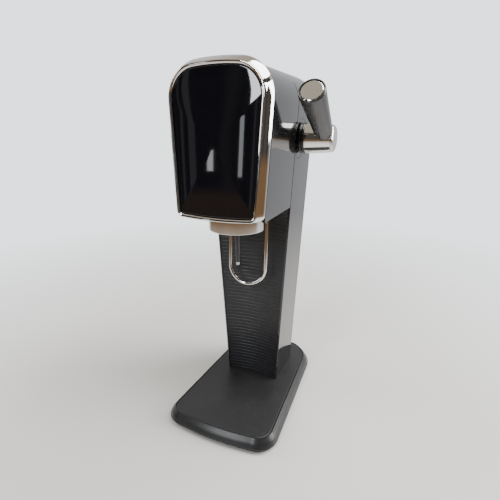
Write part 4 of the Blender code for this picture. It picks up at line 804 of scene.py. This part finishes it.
def build_world():
    """Pale all round for the camera; the pieces see a pale wall behind, a dim room in front and a warm ceiling."""
    room_shadow, room_light, bright_strip = (0.016, 0.014, 0.013), (0.085, 0.072, 0.060), (0.30, 0.30, 0.31)
    warm_floor, pale_wall, warm_ceiling = (0.22, 0.13, 0.065), (0.80, 0.81, 0.83), (0.52, 0.47, 0.38)
    world = bpy.data.worlds.new("studio")
    bpy.context.scene.world = world
    world.use_nodes = True
    tree = world.node_tree
    pale = tree.nodes["Background"]
    pale.inputs["Color"].default_value = (0.82, 0.85, 0.88, 1.0)
    pale.inputs["Strength"].default_value = 2.6
    room = tree.nodes.new("ShaderNodeBackground")
    way = tree.nodes.new("ShaderNodeTexCoord").outputs["Generated"]
    split = tree.nodes.new("ShaderNodeSeparateXYZ")
    tree.links.new(way, split.inputs[0])
    # the level direction alone, so that the room's light and dark patches are upright strips
    level = tree.nodes.new("ShaderNodeVectorMath")
    level.operation = "MULTIPLY"
    level.inputs[1].default_value = (1.0, 1.0, 0.0)
    tree.links.new(way, level.inputs[0])
    bearing = tree.nodes.new("ShaderNodeVectorMath")
    bearing.operation = "NORMALIZE"
    tree.links.new(level.outputs[0], bearing.inputs[0])
    strips = mapped(tree, noise(tree, bearing.outputs[0], 5.5, 3.0), 0.47, 0.55, 0.0, 1.0)
    dim = mixed(tree, strips, room_shadow, room_light)
    tall = mapped(tree, noise(tree, bearing.outputs[0], 11.0, 1.0), 0.60, 0.62, 0.0, 1.0)
    dim = mixed(tree, tall, dim, bright_strip)
    above = mapped(tree, split.outputs["Z"], 0.62, 0.74, 0.0, 1.0)
    below = mapped(tree, split.outputs["Z"], -0.14, -0.10, 1.0, 0.0)
    dim = mixed(tree, below, dim, warm_floor)
    behind = mapped(tree, split.outputs["Y"], 0.30, 0.52, 0.0, 1.0)
    walls = mixed(tree, behind, dim, pale_wall)
    tree.links.new(mixed(tree, above, walls, warm_ceiling), room.inputs["Color"])
    path = tree.nodes.new("ShaderNodeLightPath")
    mix = tree.nodes.new("ShaderNodeMixShader")
    tree.links.new(path.outputs["Is Camera Ray"], mix.inputs["Fac"])
    tree.links.new(room.outputs[0], mix.inputs[1])
    tree.links.new(pale.outputs[0], mix.inputs[2])
    tree.links.new(mix.outputs[0], tree.nodes["World Output"].inputs["Surface"])


def softbox(name, location, target, width, height, power, colour=(1.0, 1.0, 1.0), roll=0.0):
    """A rectangular light aimed at a target and rolled about its own axis by degrees; the camera can't see it."""
    light = bpy.data.lights.new(name, "AREA")
    light.shape = "RECTANGLE"
    light.size, light.size_y = width, height
    light.energy, light.color = power, colour
    obj = bpy.data.objects.new(name, light)
    aim = (Vector(target) - Vector(location)).to_track_quat("-Z", "Y").to_matrix().to_4x4()
    obj.matrix_world = Matrix.Translation(location) @ aim @ Matrix.Rotation(math.radians(roll), 4, "Z")
    obj.visible_camera = False
    bpy.context.scene.collection.objects.link(obj)


def build_lights():
    """The first three are what the panel reflects; the others light the room softly."""
    head = (0.0, 0.0, 0.33)
    softbox("window", (-0.42, -1.55, 1.03), (0.040, -0.045, 0.40), 0.30, 0.70, 14.0, (0.93, 0.97, 1.0), 16.0)
    softbox("window_low", (-0.50, -1.50, 0.42), (0.030, -0.045, 0.36), 0.045, 0.30, 0.16, (0.93, 0.97, 1.0))
    softbox("lamp", (-0.73, -1.32, 0.33), (0.0, -0.050, 0.33), 0.030, 0.13, 0.07)
    softbox("overhead", (0.62, 0.30, 1.70), head, 1.20, 1.10, 34.0)
    softbox("left_fill", (-1.50, -0.10, 0.90), head, 0.80, 1.10, 12.0, (1.0, 0.98, 0.95))
    softbox("right_fill", (1.50, 0.75, 0.80), head, 0.90, 1.20, 34.0)


def build_camera():
    """Where the photograph was taken from: a little above the head, from the lever's side."""
    place = (0.1928, -0.3968, 0.3748)
    turn, down, roll = (math.radians(degrees) for degrees in (23.923, 18.4475, 0.2757))
    data = bpy.data.cameras.new("camera")
    data.sensor_width = 36.0
    data.lens = 26.82
    data.clip_start = 0.01
    camera = bpy.data.objects.new("camera", data)
    bpy.context.scene.collection.objects.link(camera)
    camera.matrix_world = (Matrix.Translation(place) @ Matrix.Rotation(turn, 4, "Z")
                           @ Matrix.Rotation(math.pi / 2 - down, 4, "X") @ Matrix.Rotation(-roll, 4, "Z"))
    bpy.context.scene.camera = camera


# ---- Build ------------------------------------------------------------------------------------
dress_carried_nodes()
build_tower()
build_ribbed_panel()
build_head_front()
build_base()
build_bottle_fittings()
build_lever()
build_cylinder()
build_stage()
build_world()
build_lights()
build_camera()
